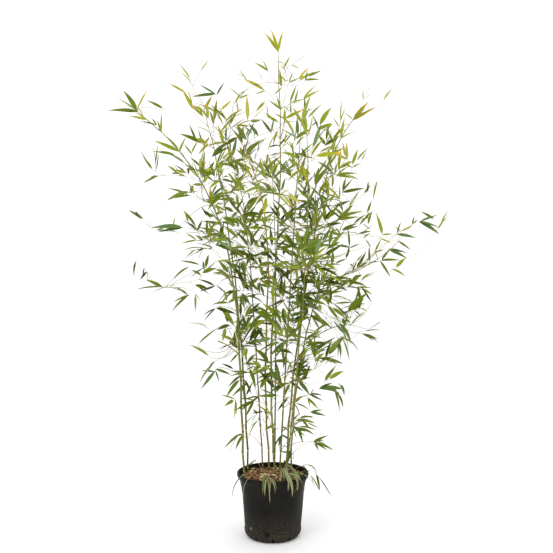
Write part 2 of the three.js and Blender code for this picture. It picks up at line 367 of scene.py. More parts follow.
class Tree:
    """The node tree of one material round its Principled shader."""

    def __init__(self, name: str, roughness: float, **values: Any) -> None:
        """Makes the material.

        Args:
            name: the material's name.
            roughness: of the shader, where no node feeds it.
            values: other shader sockets by name, with _ for a space.
        """
        self.material = bpy.data.materials.new(name)
        self.material.use_nodes = True
        self.nodes = self.material.node_tree.nodes
        self.shader = self.nodes["Principled BSDF"]
        self.shader.inputs["Roughness"].default_value = roughness
        for key, value in values.items():
            self.shader.inputs[key.replace("_", " ")].default_value = value

    def node(self, kind: str, settings: dict[str, Any], inputs: dict[Any, Any]) -> Any:
        """Adds a node.

        Args:
            kind: its type.
            settings: its own properties, set first.
            inputs: values or links of its sockets, by name or place.

        Returns:
            The node.
        """
        node = self.nodes.new(kind)
        for key, value in settings.items():
            setattr(node, key, value)
        for key, value in inputs.items():
            self.feed(node.inputs[key], value)
        return node

    def feed(self, socket: Any, value: Any) -> None:
        """Links a socket to a Sock, or sets it to a plain value."""
        if isinstance(value, Sock):
            self.material.node_tree.links.new(value.socket, socket)
        elif isinstance(value, tuple) and socket.type == "RGBA":
            socket.default_value = (*value[:3], 1.0)
        else:
            socket.default_value = value

    def place(self) -> Sock:
        """Object coordinates, which are the plant's own metres."""
        return Sock(self, self.node("ShaderNodeTexCoord", {}, {}).outputs["Object"])

    def stretched(self, scale: Triple) -> Sock:
        """Object coordinates times a scale on each axis."""
        inputs = {0: self.place(), 1: scale}
        node = self.node("ShaderNodeVectorMath", {"operation": "MULTIPLY"}, inputs)
        return Sock(self, node.outputs[0])

    def axis(self, vector: Sock, name: str) -> Sock:
        """One part, X, Y or Z, of a vector."""
        node = self.node("ShaderNodeSeparateXYZ", {}, {0: vector})
        return Sock(self, node.outputs[name])

    def value(self, name: str) -> Sock:
        """A named value of the mesh's points."""
        node = self.node("ShaderNodeAttribute", {"attribute_name": name}, {})
        return Sock(self, node.outputs["Fac"])

    def map(self) -> Sock:
        """The piece's own map."""
        return Sock(self, self.node("ShaderNodeUVMap", {"uv_map": "OFBake"}, {}).outputs[0])

    def noise(self, vector: Sock, scale: float, detail: float = 3.0) -> Sock:
        """Cloudy noise from about 0.3 to 0.7."""
        inputs = {"Vector": vector, "Scale": scale, "Detail": detail}
        return Sock(self, self.node("ShaderNodeTexNoise", {}, inputs).outputs[0])

    def cells(self, vector: Sock, scale: float) -> Sock:
        """Distance to the nearest of scattered points."""
        inputs = {"Vector": vector, "Scale": scale}
        return Sock(self, self.node("ShaderNodeTexVoronoi", {}, inputs).outputs["Distance"])

    def distance(self, vector: Sock, point: Triple) -> Sock:
        """Distance from the vector to a fixed point."""
        inputs = {0: vector, 1: point}
        node = self.node("ShaderNodeVectorMath", {"operation": "DISTANCE"}, inputs)
        return Sock(self, node.outputs["Value"])

    def mix(self, factor: Sock, low: Any, high: Any) -> Sock:
        """A blend of two colours."""
        node = self.node("ShaderNodeMix", {"data_type": "RGBA"}, {0: factor, 6: low, 7: high})
        return Sock(self, node.outputs[2])

    def bump(self, height: Sock, distance: float, strength: float = 1.0) -> None:
        """Feeds the shader's normal from a height in metres times distance."""
        inputs = {"Height": height, "Distance": distance, "Strength": strength}
        node = self.node("ShaderNodeBump", {}, inputs)
        self.feed(self.shader.inputs["Normal"], Sock(self, node.outputs[0]))

    def paint(self, colour: Any) -> None:
        """Feeds or sets the shader's base colour."""
        self.feed(self.shader.inputs["Base Color"], colour)

    def rough(self, roughness: Sock) -> None:
        """Feeds the shader's roughness."""
        self.feed(self.shader.inputs["Roughness"], roughness)


def srgb(red: int, green: int, blue: int) -> Colour:
    """A colour given as screen numbers from 0 to 255, in linear light."""
    shares = np.array([red, green, blue]) / 255
    linear = np.where(shares > 0.04045, ((shares + 0.055) / 1.055) ** 2.4, shares / 12.92)
    return tuple(float(x) for x in linear)


# ---- Finishes ----


@dataclass(frozen=True)
class LeafFinish:
    """A kind of leaf by its colours: upper face, paler underside, and the tip, which may wither."""

    name: str
    upper: Colour
    under: Colour
    tip: Colour
    roughness: float = 0.6
    veins: int = 12

    def materials(self) -> list[Any]:
        """The materials of the upper face, the underside and the tip."""
        sides = (("upper", self.upper), ("under", self.under), ("tip", self.tip))
        return [self._material(f"leaf_{self.name}_{side}", colour) for side, colour in sides]

    def _material(self, name: str, colour: Colour) -> Any:
        """A plain colour with fine veins that run the length of the blade."""
        tree = Tree(name, self.roughness, Specular_IOR_Level=0.16)
        tree.paint(colour)
        across = tree.axis(tree.map(), "X")
        tree.bump((across * (TURN * self.veins)).sine(), 0.00004)
        return tree.material


class LeafKind(Enum):
    """The kinds of leaf on the plant, from the shaded heart of the crown to its sunlit tips."""

    DEEP = LeafFinish("deep", srgb(66, 84, 14), srgb(92, 112, 38), srgb(76, 90, 18))
    MIDDLE = LeafFinish("middle", srgb(94, 114, 16), srgb(116, 134, 46), srgb(108, 120, 22))
    FRESH = LeafFinish("fresh", srgb(128, 142, 24), srgb(142, 154, 58), srgb(154, 152, 32))
    BLUISH = LeafFinish("bluish", srgb(88, 112, 52), srgb(114, 136, 84), srgb(104, 120, 54))
    SUNLIT = LeafFinish("sunlit", srgb(154, 156, 34), srgb(168, 170, 74), srgb(198, 162, 44))
    GOLDEN = LeafFinish("golden", srgb(180, 168, 46), srgb(190, 182, 86), srgb(218, 150, 38))
    WITHERED = LeafFinish("withered", srgb(126, 110, 74), srgb(156, 144, 108), srgb(104, 82, 52))
    PALE = LeafFinish("pale", srgb(132, 142, 98), srgb(168, 174, 138), srgb(142, 132, 96))


@dataclass(frozen=True)
class CaneFinish:
    """Skin of a cane: two greens up its height, blotches, a dark ring and pale bloom at joints."""

    name: str
    lower: Colour
    upper: Colour
    blotch: Colour
    ring: Colour = srgb(72, 52, 26)
    bloom: Colour = srgb(180, 184, 122)

    def material(self) -> Any:
        """The material, which reads how far a point is from its joint and up its cane."""
        tree = Tree(f"cane_skin_{self.name}", 0.4, Specular_IOR_Level=0.25)
        streak = tree.noise(tree.stretched((1.0, 1.0, 0.04)), 900, 2)
        cloud = tree.noise(tree.place(), 26, 4)
        joint = tree.value("joint")
        colour = tree.mix(tree.value("rise").ramp(0.1, 0.95), self.lower, self.upper)
        colour = tree.mix(streak.ramp(0.45, 0.7) * 0.22, colour, self.bloom)
        colour = tree.mix(cloud.ramp(0.52, 0.68) * 0.8, colour, self.blotch)
        below = joint.ramp(-0.011, -0.003) * joint.ramp(0.0, -0.0012)
        colour = tree.mix(below * 0.7, colour, self.bloom)
        tree.paint(tree.mix(joint.size().ramp(0.0022, 0.0008), colour, self.ring))
        tree.rough(streak * 0.25 + cloud.ramp(0.45, 0.7) * 0.2 + 0.22)
        tree.bump(streak, 0.0003)
        return tree.material


class CaneKind(Enum):
    """How a cane is coloured."""

    OLIVE = CaneFinish("olive", srgb(106, 107, 28), srgb(108, 116, 34), srgb(116, 86, 30))
    GREEN = CaneFinish("green", srgb(74, 88, 26), srgb(100, 112, 34), srgb(84, 70, 26))
    GOLDEN = CaneFinish("golden", srgb(122, 104, 28), srgb(172, 124, 42), srgb(138, 88, 30))
    RUSSET = CaneFinish("russet", srgb(104, 86, 36), srgb(124, 110, 42), srgb(98, 64, 30))


@dataclass(frozen=True)
class TwigFinish:
    """Bark of boughs and twigs in a plain colour, under fine lengthwise grain."""

    name: str
    colour: Colour
    grains: int = 5

    def material(self) -> Any:
        """The material."""
        tree = Tree(f"twig_{self.name}", 0.55, Specular_IOR_Level=0.35)
        tree.paint(self.colour)
        across = tree.axis(tree.map(), "X")
        tree.bump((across * (TURN * self.grains)).sine(), 0.0002, 0.4)
        return tree.material


TWIG_FINISHES = (
    TwigFinish("olive", srgb(132, 132, 62)),
    TwigFinish("tan", srgb(166, 138, 64)),
    TwigFinish("russet", srgb(136, 104, 60)),
)


@dataclass(frozen=True)
class PotFinish:
    """Dull black moulded plastic with dust, faint flow marks and scuffs, under cloudy patches of
    painted sheen.
    """

    plastic: Colour = srgb(9, 9, 8)
    painted_sheen: Colour = srgb(21, 21, 18)
    dust: Colour = srgb(106, 97, 82)
    scuff: Colour = srgb(150, 142, 124)
    scuff_place: Triple = (-0.072, -0.066, 0.042)
    stain_place: Triple = (-0.018, -0.097, 0.031)

    def material(self) -> Any:
        """The material of the wall: dust gathers towards the foot."""
        tree = Tree("pot_plastic", 0.6, Specular_IOR_Level=0.1)
        place = tree.place()
        cloud = tree.noise(place, 11, 5)
        grain = tree.noise(place, 420, 2)
        speck = tree.cells(place, 240).ramp(0.2, 0.06) * tree.noise(place, 60, 2).ramp(0.46, 0.6)
        low = tree.axis(place, "Z").ramp(0.12, 0.0)
        # Painted sheen: cloudy patches of a lighter tone over the black plastic.
        colour = tree.mix(cloud.ramp(0.35, 0.65), self.plastic, self.painted_sheen)
        colour = tree.mix((low * 0.42 + 0.06) * grain.ramp(0.4, 0.7), colour, self.dust)
        colour = tree.mix(speck * (low * 0.5 + 0.35), colour, self.dust)
        stain = tree.distance(place, self.stain_place) + cloud * 0.016
        colour = tree.mix(stain.ramp(0.021, 0.012) * 0.85, colour, self.plastic)
        scuff = tree.distance(place, self.scuff_place) + grain * 0.012
        tree.paint(tree.mix(scuff.ramp(0.013, 0.008) * 0.55, colour, self.scuff))
        tree.rough(cloud.ramp(0.3, 0.7) * 0.16 + low * 0.12 + 0.5)
        tree.bump(grain * 0.6 + cloud * 2.0, 0.0008)
        return tree.material

    def slot_shade(self) -> Any:
        """Painted shade: near-black for the middles of the sunk drainage slots, standing in for the
        dark inside of open holes.
        """
        tree = Tree("pot_slot_painted_shade", 0.85, Specular_IOR_Level=0.1)
        tree.paint(srgb(10, 9, 8))
        return tree.material


@dataclass(frozen=True)
class BarkFinish:
    """One colour of mulch chip or of the soil under it, with a rough fibrous face."""

    name: str
    colour: Colour

    def material(self) -> Any:
        """The material."""
        tree = Tree(f"mulch_{self.name}", 0.88, Specular_IOR_Level=0.2)
        tree.paint(self.colour)
        tree.bump(tree.noise(tree.stretched((1.0, 0.35, 1.0)), 520, 4), 0.0016)
        return tree.material


BARK_FINISHES = (
    BarkFinish("soil", srgb(54, 40, 26)),
    BarkFinish("brown", srgb(116, 86, 52)),
    BarkFinish("dark", srgb(84, 60, 38)),
    BarkFinish("red", srgb(132, 86, 54)),
    BarkFinish("tan", srgb(168, 136, 92)),
    BarkFinish("pale", srgb(206, 184, 142)),
)


@dataclass(frozen=True)
class FloorFinish:
    """Plain pale floor."""

    colour: Colour = (0.92, 0.92, 0.92)

    def material(self) -> Any:
        """The material."""
        tree = Tree("studio_floor", 0.9, Specular_IOR_Level=0.0)
        tree.paint(self.colour)
        return tree.material


# ---- Canes and boughs ----


@dataclass
class Limb:
    """The centreline of a packed cane or bough, with its radius, from foot to tip."""

    node: str
    samples: int = 240
    ring_gap: float = 6 * MM

    def __post_init__(self) -> None:
        """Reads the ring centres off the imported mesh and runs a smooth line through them.

        The mesh's points are sorted along its longest direction. A wide step between two of them
        parts one ring from the next, and a ring's centre is the mean of its points.
        """
        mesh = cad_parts[self.node].data
        points = np.empty(3 * len(mesh.vertices), np.float32)
        mesh.vertices.foreach_get("co", points)
        points = np.unique(points.reshape(-1, 3).round(6), axis=0).astype(float)
        middle = points.mean(0)
        way = np.linalg.svd(points - middle, full_matrices=False)[2][0]
        along = (points - middle) @ way
        order = np.argsort(along)
        points, along = points[order], along[order]
        rings = np.split(points, np.flatnonzero(np.diff(along) > self.ring_gap) + 1)
        centres = np.array([ring.mean(0) for ring in rings])
        radii = np.array([np.linalg.norm(r - c, axis=1).mean() for r, c in zip(rings, centres)])
        if radii[0] < radii[-1]:
            centres, radii = centres[::-1], radii[::-1]
        self.line = smooth_line(centres, self.samples)
        run = np.linspace(0, 1, len(radii))
        self.radius = np.interp(np.linspace(0, 1, self.samples), run, radii)
        self.run = run_along(self.line)
        self.length = float(self.run[-1])

    def at(self, run: Array) -> Array:
        """Points of the line at these lengths along it."""
        return at_run(run, self.run, self.line)

    def joints(self, first: float, short: float, long: float) -> Array:
        """Lengths along the limb where its joints sit, wider apart halfway up than at its ends."""
        places = [first]
        while places[-1] < self.length - short:
            share = places[-1] / self.length
            places.append(places[-1] + short + (long - short) * math.sin(math.pi * share))
        return np.array(places[:-1])


@dataclass
class Cane:
    """One cane with its swollen joints and its slight zigzag from one joint to the next."""

    node: str
    kind: CaneKind
    slot: str
    seed: int
    sides: int = 12
    plain_step: float = 14 * MM
    first_joint: float = 34 * MM
    short_internode: float = 52 * MM
    long_internode: float = 128 * MM
    crowded: float = 11 * MM
    swelling: float = 0.26
    swelling_length: float = 2.2 * MM
    swelling_above: float = 1.8 * MM
    scar: float = 0.12
    scar_length: float = 0.8 * MM
    zigzag: float = 1.6 * MM
    zigzag_turn: float = 2.4
    tip_share: float = 0.3
    tip_length: float = 40 * MM
    last_bud: float = 4 * MM
    map_strips: int = 12

    def __post_init__(self) -> None:
        """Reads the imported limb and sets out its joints."""
        self.limb = Limb(self.node)
        self.joints = self.limb.joints(
            self.first_joint, self.short_internode, self.long_internode
        )

    def stations(self) -> Array:
        """Lengths along the cane for its rings, crowded about each joint."""
        near = np.array([-9, -6, -4, -2.6, -1.6, -0.9, -0.3, 0.3, 0.9, 1.6, 2.6, 4, 6, 9]) * MM
        count = int(self.limb.length / self.plain_step)
        plain = np.linspace(0, self.limb.length, count)
        clear = np.abs(plain[:, None] - self.joints).min(1) > self.crowded
        crowd = (self.joints[:, None] + near).ravel()
        inside = (crowd > 0) & (crowd < self.limb.length)
        return np.unique(np.concatenate([[0, self.limb.length], plain[clear], crowd[inside]]))

    def line(self, run: Array) -> Array:
        """The centreline, which leans to the other side at each joint by the zigzag's size."""
        sway = np.interp(run, self.joints, self.zigzag * (-1.0) ** np.arange(len(self.joints)))
        angle = self.seed * self.zigzag_turn
        side = np.array([math.cos(angle), math.sin(angle), 0.0])
        fade = np.minimum(run / self.first_joint, 1)
        return self.limb.at(run) + (sway * fade)[:, None] * side

    def build(self) -> Any:
        """Makes the cane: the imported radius, swollen over each joint and pinched at its scar.

        Both are bell curves of the distance to the joint.

        Returns:
            The cane's object.
        """
        run = self.stations()
        gap = run[:, None] - self.joints
        nearest = np.abs(gap).argmin(1)
        joint = gap[np.arange(len(run)), nearest]
        radius = np.interp(run, self.limb.run, self.limb.radius)
        radius = radius * (
            1
            + self.swelling * np.exp(-(((joint - self.swelling_above) / self.swelling_length) ** 2))
            - self.scar * np.exp(-((joint / self.scar_length) ** 2))
        )
        radius[-1] *= self.tip_share
        surface = Surface()
        surface.add_tubes(
            tube_grid(self.line(run)[None], radius[None], self.sides),
            strips=self.map_strips,
            joint=joint[None, :, None],
            rise=(run / self.limb.length)[None, :, None],
        )
        piece = surface.build(self.node + "_skin", [self.kind.value.material()])
        settle(piece, [self.node])
        return piece

    def tip(self, steps: int) -> Array:
        """The last stretch of the centreline, as so many points."""
        return self.line(np.linspace(self.limb.length - self.tip_length, self.limb.length, steps))

    def buds(self, lowest: float) -> tuple[Array, Array, Array]:
        """Joints that may carry branchlets: their places, the cane's direction and its radius.

        Args:
            lowest: height below which a joint stays bare.

        Returns:
            Places (B, 3), directions (B, 3) and radii (B,).
        """
        run = np.append(self.joints, self.limb.length - self.last_bud)
        places = self.line(run)
        ways = unit(self.line(run + MM) - self.line(run - MM))
        radius = np.interp(run, self.limb.run, self.limb.radius)
        keep = places[:, 2] > lowest
        return places[keep], ways[keep], radius[keep]


@dataclass
class Bough:
    """One side bough, rooted in its cane and ending inside its mass of leaves."""

    node: str
    sides: int = 8
    stations: int = 40
    knots: int = 3
    knot_length: float = 3 * MM
    knot_size: float = 0.3
    slimness: float = 0.85
    bud_count: int = 5
    bud_stretch: Pair = (0.5, 0.98)

    def build(self) -> Any:
        """Makes the bough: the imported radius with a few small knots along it.

        Returns:
            The bough's object.
        """
        self.limb = Limb(self.node)
        share = np.linspace(0, 1, self.stations)
        line = self.limb.at(share * self.limb.length)
        knots = (np.arange(self.knots) + 0.5) / self.knots
        gap = (share[:, None] - knots) * self.limb.length
        swell = np.exp(-((gap / self.knot_length) ** 2)).sum(1)
        radius = np.interp(share * self.limb.length, self.limb.run, self.limb.radius)
        radius = radius * (self.slimness + self.knot_size * swell)
        surface = Surface()
        surface.add_tubes(tube_grid(line[None], radius[None], self.sides), strips=3)
        piece = surface.build(self.node + "_bark", [TWIG_FINISHES[0].material()])
        settle(piece, [self.node])
        return piece

    def buds(self) -> tuple[Array, Array, Array]:
        """Places along the bough's outer half that may carry branchlets, with ways and radii."""
        run = np.linspace(*self.bud_stretch, self.bud_count) * self.limb.length
        places = self.limb.at(run)
        ways = unit(self.limb.at(run + MM) - self.limb.at(run - MM))
        return places, ways, np.interp(run, self.limb.run, self.limb.radius)


# ---- Leaves ----


@dataclass
class Leaves:
    """Leaves gathered as arrays, one row for each leaf.

    The arrays are base, where the leaf starts, heading, the unit way it sets out in, face, the
    unit way its upper face looks, length, greatest width, droop and twist, the angles in radians
    through which it bends down and turns about itself, and kind, its place in LeafKind.
    """

    rows: dict[str, list[Array]] = field(default_factory=dict)  # arrays by name
    stations: int = 9  # rings along a blade
    fold: float = 0.3  # angle from the midrib up to either margin
    thickness: float = 0.22 * MM  # half the blade's depth at the midrib
    stalk: float = 0.05  # share of the length before the blade widens
    tip_rows: int = 2  # how many stations from the end the tip's colour begins

    def add(self, **rows: Array) -> None:
        """Adds leaves, given as arrays by name."""
        for name, row in rows.items():
            self.rows.setdefault(name, []).append(row)

    def all(self, name: str) -> Array:
        """The rows of this name for all leaves."""
        return np.concatenate(self.rows[name])

    def grid(self) -> Array:
        """The blades: thin closed folds on a bent midrib.

        The midrib is an arc that turns from the heading towards the ground. Half the width grows
        and falls as the sine of pi times the length share to the power 0.62, so that the blade is
        widest a third of the way out. The margins stand above the midrib by the fold, and the
        blade is its thickness deep at the midrib.

        Returns:
            Ring points of shape (N, stations, 4, 3): margin, lower midrib, margin, upper midrib.
        """
        base, heading, face = (self.all(name) for name in ("base", "heading", "face"))
        length, width, droop, twist = (
            self.all(name)[:, None, None] for name in ("length", "width", "droop", "twist")
        )
        share = (np.linspace(0, 1, self.stations) ** 1.1)[None, :, None]
        heading, face = heading[:, None], face[:, None]
        down = square_to(heading, np.broadcast_to(-UP + 1e-3, heading.shape))
        bend = np.maximum(droop, 1e-3)
        middle = base[:, None] + length * (
            np.sin(bend * share) / bend * heading + (1 - np.cos(bend * share)) / bend * down
        )
        along = np.cos(bend * share) * heading + np.sin(bend * share) * down
        side = square_to(along, np.broadcast_to(np.cross(face, heading), along.shape))
        side = turned(side, along, (twist * share)[..., 0])
        above = np.cross(along, side)
        blade = np.clip((share - self.stalk) / (1 - self.stalk), 0, 1)
        half = width / 2 * np.sin(math.pi * blade**0.62) ** 0.9 + 0.25 * MM
        out, lift = half * math.cos(self.fold), half * math.sin(self.fold)
        depth = self.thickness * np.where(share < 1, 1.0, 0.3)
        return np.stack(
            [
                middle - out * side + lift * above,
                middle - depth * above,
                middle + out * side + lift * above,
                middle + depth * above,
            ],
            axis=2,
        )

    def add_to(self, surface: Surface) -> None:
        """Puts the blades on a surface: upper, under and tip slots in turn for each kind."""
        grid = self.grid()
        kind = self.all("kind")[:, None, None]
        part = np.array([1, 1, 0, 0])[None, None, :]
        part = np.broadcast_to(part, (1, self.stations - 1, 4)).copy()
        part[:, -self.tip_rows :] = 2
        surface.add_tubes(grid, slots=3 * kind + part)


def leaf_materials() -> list[Any]:
    """The materials of all kinds of leaf, upper, under and tip in turn for each."""
    return [material for kind in LeafKind for material in kind.value.materials()]


KIND_INDEX = {kind: place for place, kind in enumerate(LeafKind)}
DEEP, MIDDLE, FRESH, BLUISH, SUNLIT, GOLDEN, WITHERED, PALE = LeafKind


# ---- Crown ----


@dataclass(frozen=True)
class Habit:
    """How branchlets, twigs and leaves grow in one storey of the crown."""

    ceiling: float  # height of a mass's middle below which it belongs to the storey
    kinds: dict[LeafKind, float]  # kinds of leaf with their shares of the sprays
    bark: Triple  # shares of the olive, tan and russet barks
    blade: Pair  # shortest and longest blade
    fill: float  # leaf area against a mass's outline, for a mass on the plant's axis
    spread: float  # how far aside of the axis the fill has dropped to about a third
    rise: float  # how strongly twigs and leaves strive upwards, negative where they hang
    slender: Pair  # least and greatest width of a blade against its length
    droop: float  # angle in radians through which blades bend down


class Storey(Enum):
    """Storeys of the crown from the ground up."""

    FOOT = Habit(
        ceiling=0.6,
        kinds={DEEP: 0.22, MIDDLE: 0.38, FRESH: 0.18, BLUISH: 0.14, PALE: 0.05, WITHERED: 0.03},
        bark=(0.4, 0.4, 0.2), blade=(0.055, 0.096), fill=1.35, spread=0.11,
        rise=0.1, slender=(0.14, 0.215), droop=0.3,
    )
    LOWER = Habit(
        ceiling=0.8,
        kinds={DEEP: 0.26, MIDDLE: 0.38, FRESH: 0.22, BLUISH: 0.12, WITHERED: 0.02},
        bark=(0.4, 0.4, 0.2), blade=(0.048, 0.088), fill=2.0, spread=0.19,
        rise=0.25, slender=(0.15, 0.23), droop=0.28,
    )
    CORE = Habit(
        ceiling=1.1,
        kinds={DEEP: 0.26, MIDDLE: 0.38, FRESH: 0.27, BLUISH: 0.09},
        bark=(0.5, 0.35, 0.15), blade=(0.045, 0.078), fill=2.25, spread=0.22,
        rise=0.45, slender=(0.15, 0.225), droop=0.22,
    )
    UPPER = Habit(
        ceiling=1.35,
        kinds={DEEP: 0.07, MIDDLE: 0.26, FRESH: 0.37, BLUISH: 0.05, SUNLIT: 0.25},
        bark=(0.4, 0.4, 0.2), blade=(0.046, 0.084), fill=0.66, spread=0.5,
        rise=0.6, slender=(0.135, 0.205), droop=0.16,
    )
    TOP = Habit(
        ceiling=9.0,
        kinds={MIDDLE: 0.1, FRESH: 0.36, BLUISH: 0.02, SUNLIT: 0.45, GOLDEN: 0.07},
        bark=(0.2, 0.5, 0.3), blade=(0.05, 0.088), fill=0.3, spread=1.2,
        rise=0.9, slender=(0.13, 0.195), droop=0.1,
    )


def storey_at(height: float) -> Storey:
    """The storey that a height belongs to."""
    return next(storey for storey in Storey if height < storey.value.ceiling)


def plant_room(margin: float) -> tuple[Array, Array]:
    """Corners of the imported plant's box, drawn in by a margin."""
    low, high = (np.array(corner) for corner in CAD_BOX)
    return low + margin, high - margin


@dataclass
class Mass:
    """Room for a rounded cloud of foliage between two corners."""

    low: Array  # corner with the least coordinates
    high: Array  # corner with the greatest ones
    node: str = ""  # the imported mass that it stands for, if any
    fill: float | None = None  # leaf area against its outline, or None where storey and place decide

    def __post_init__(self) -> None:
        """Finds its middle, half size and storey."""
        self.middle = (self.low + self.high) / 2
        self.half = (self.high - self.low) / 2
        self.storey = storey_at(self.middle[2])

    @classmethod
    def packed(cls, node: str, depth: float = 0.03, trail: float = 0.22) -> "Mass":
        """The room of a packed mass, drawn out towards the canes.

        Args:
            node: the mass's name.
            depth: how far back the canes stand.
            trail: share of the gap between mass and canes that stays free.

        Returns:
            The room, so that the crown is full between its front, its canes and its rear.
        """
        low, high = (np.array(corner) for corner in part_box(node))
        low[1] = min(low[1], depth + trail * (low[1] - depth))
        high[1] = max(high[1], depth + trail * (high[1] - depth))
        return cls(low, high, node)

    def inside(self, points: Array, reach: float = 1.0) -> Array:
        """Whether points lie in the ellipsoid of the box, grown by the reach."""
        return np.linalg.norm((points - self.middle) / self.half, axis=-1) < reach

    def somewhere(self, count: int, reach: float, rng: Any) -> Array:
        """Random points of the ellipsoid, evenly spread through its volume."""
        ways = unit(rng.normal(size=(count, 3)))
        share = reach * rng.uniform(size=(count, 1)) ** (1 / 3)
        return self.middle + self.half * ways * share

    def room(self, reach: float, margin: float) -> tuple[Array, Array]:
        """Corners of the mass's box, grown by the reach, that stay inside the plant's own box."""
        low, high = plant_room(margin)
        near = np.maximum(self.middle - reach * self.half, low)
        return near, np.minimum(self.middle + reach * self.half, high)

    def outline(self) -> float:
        """Area of the mass's outline from the front."""
        return math.pi * self.half[2] * self.half[0]


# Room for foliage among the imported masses: its low corner, its high corner and its fill.
LOOSE_FOLIAGE = (
    ((-0.17, -0.07, 0.46), (-0.04, 0.12, 0.64), 0.9),
    ((0.03, -0.08, 0.42), (0.165, 0.12, 0.66), 0.35),
    ((-0.13, -0.06, 0.33), (0.12, 0.13, 0.5), 0.35),
    ((0.2, -0.03, 0.77), (0.33, 0.09, 0.87), 0.6),
    ((0.33, -0.03, 0.86), (0.44, 0.08, 1.0), 0.6),
    ((0.04, -0.1, 0.71), (0.24, 0.06, 0.83), 1.8),
    ((-0.15, -0.06, 0.5), (-0.06, 0.1, 0.8), 1.7),
    ((-0.28, -0.06, 0.92), (-0.14, 0.08, 1.04), 1.0),
    ((-0.06, -0.12, 0.85), (0.17, 0.06, 0.96), 1.0),
    ((-0.14, -0.06, 1.34), (-0.03, 0.08, 1.46), 0.35),
    ((-0.15, -0.06, 1.14), (-0.04, 0.08, 1.26), 0.9),
    ((-0.02, -0.06, 1.26), (0.12, 0.08, 1.34), 0.7),
    ((0.08, -0.08, 0.54), (0.22, 0.06, 0.69), 1.0),
    ((0.16, -0.06, 1.06), (0.26, 0.1, 1.28), 1.2),
    ((0.08, -0.06, 1.08), (0.17, 0.1, 1.24), 1.2),
    ((-0.33, -0.08, 1.06), (-0.14, 0.1, 1.3), 1.0),
    ((-0.26, -0.06, 1.28), (-0.1, 0.1, 1.43), 0.6),
)


@dataclass(frozen=True)
class ClearSpray:
    """A spray at the rim of the crown that stands clear against the sky."""

    x: float  # where its leaves part, in millimetres to the right of the plant's middle
    z: float  # how high that is, in millimetres
    kind: LeafKind  # kind of its leaves
    # Each leaf's lean from upright to the right in degrees, and its length in millimetres.
    leaves: tuple[tuple[float, float], ...]


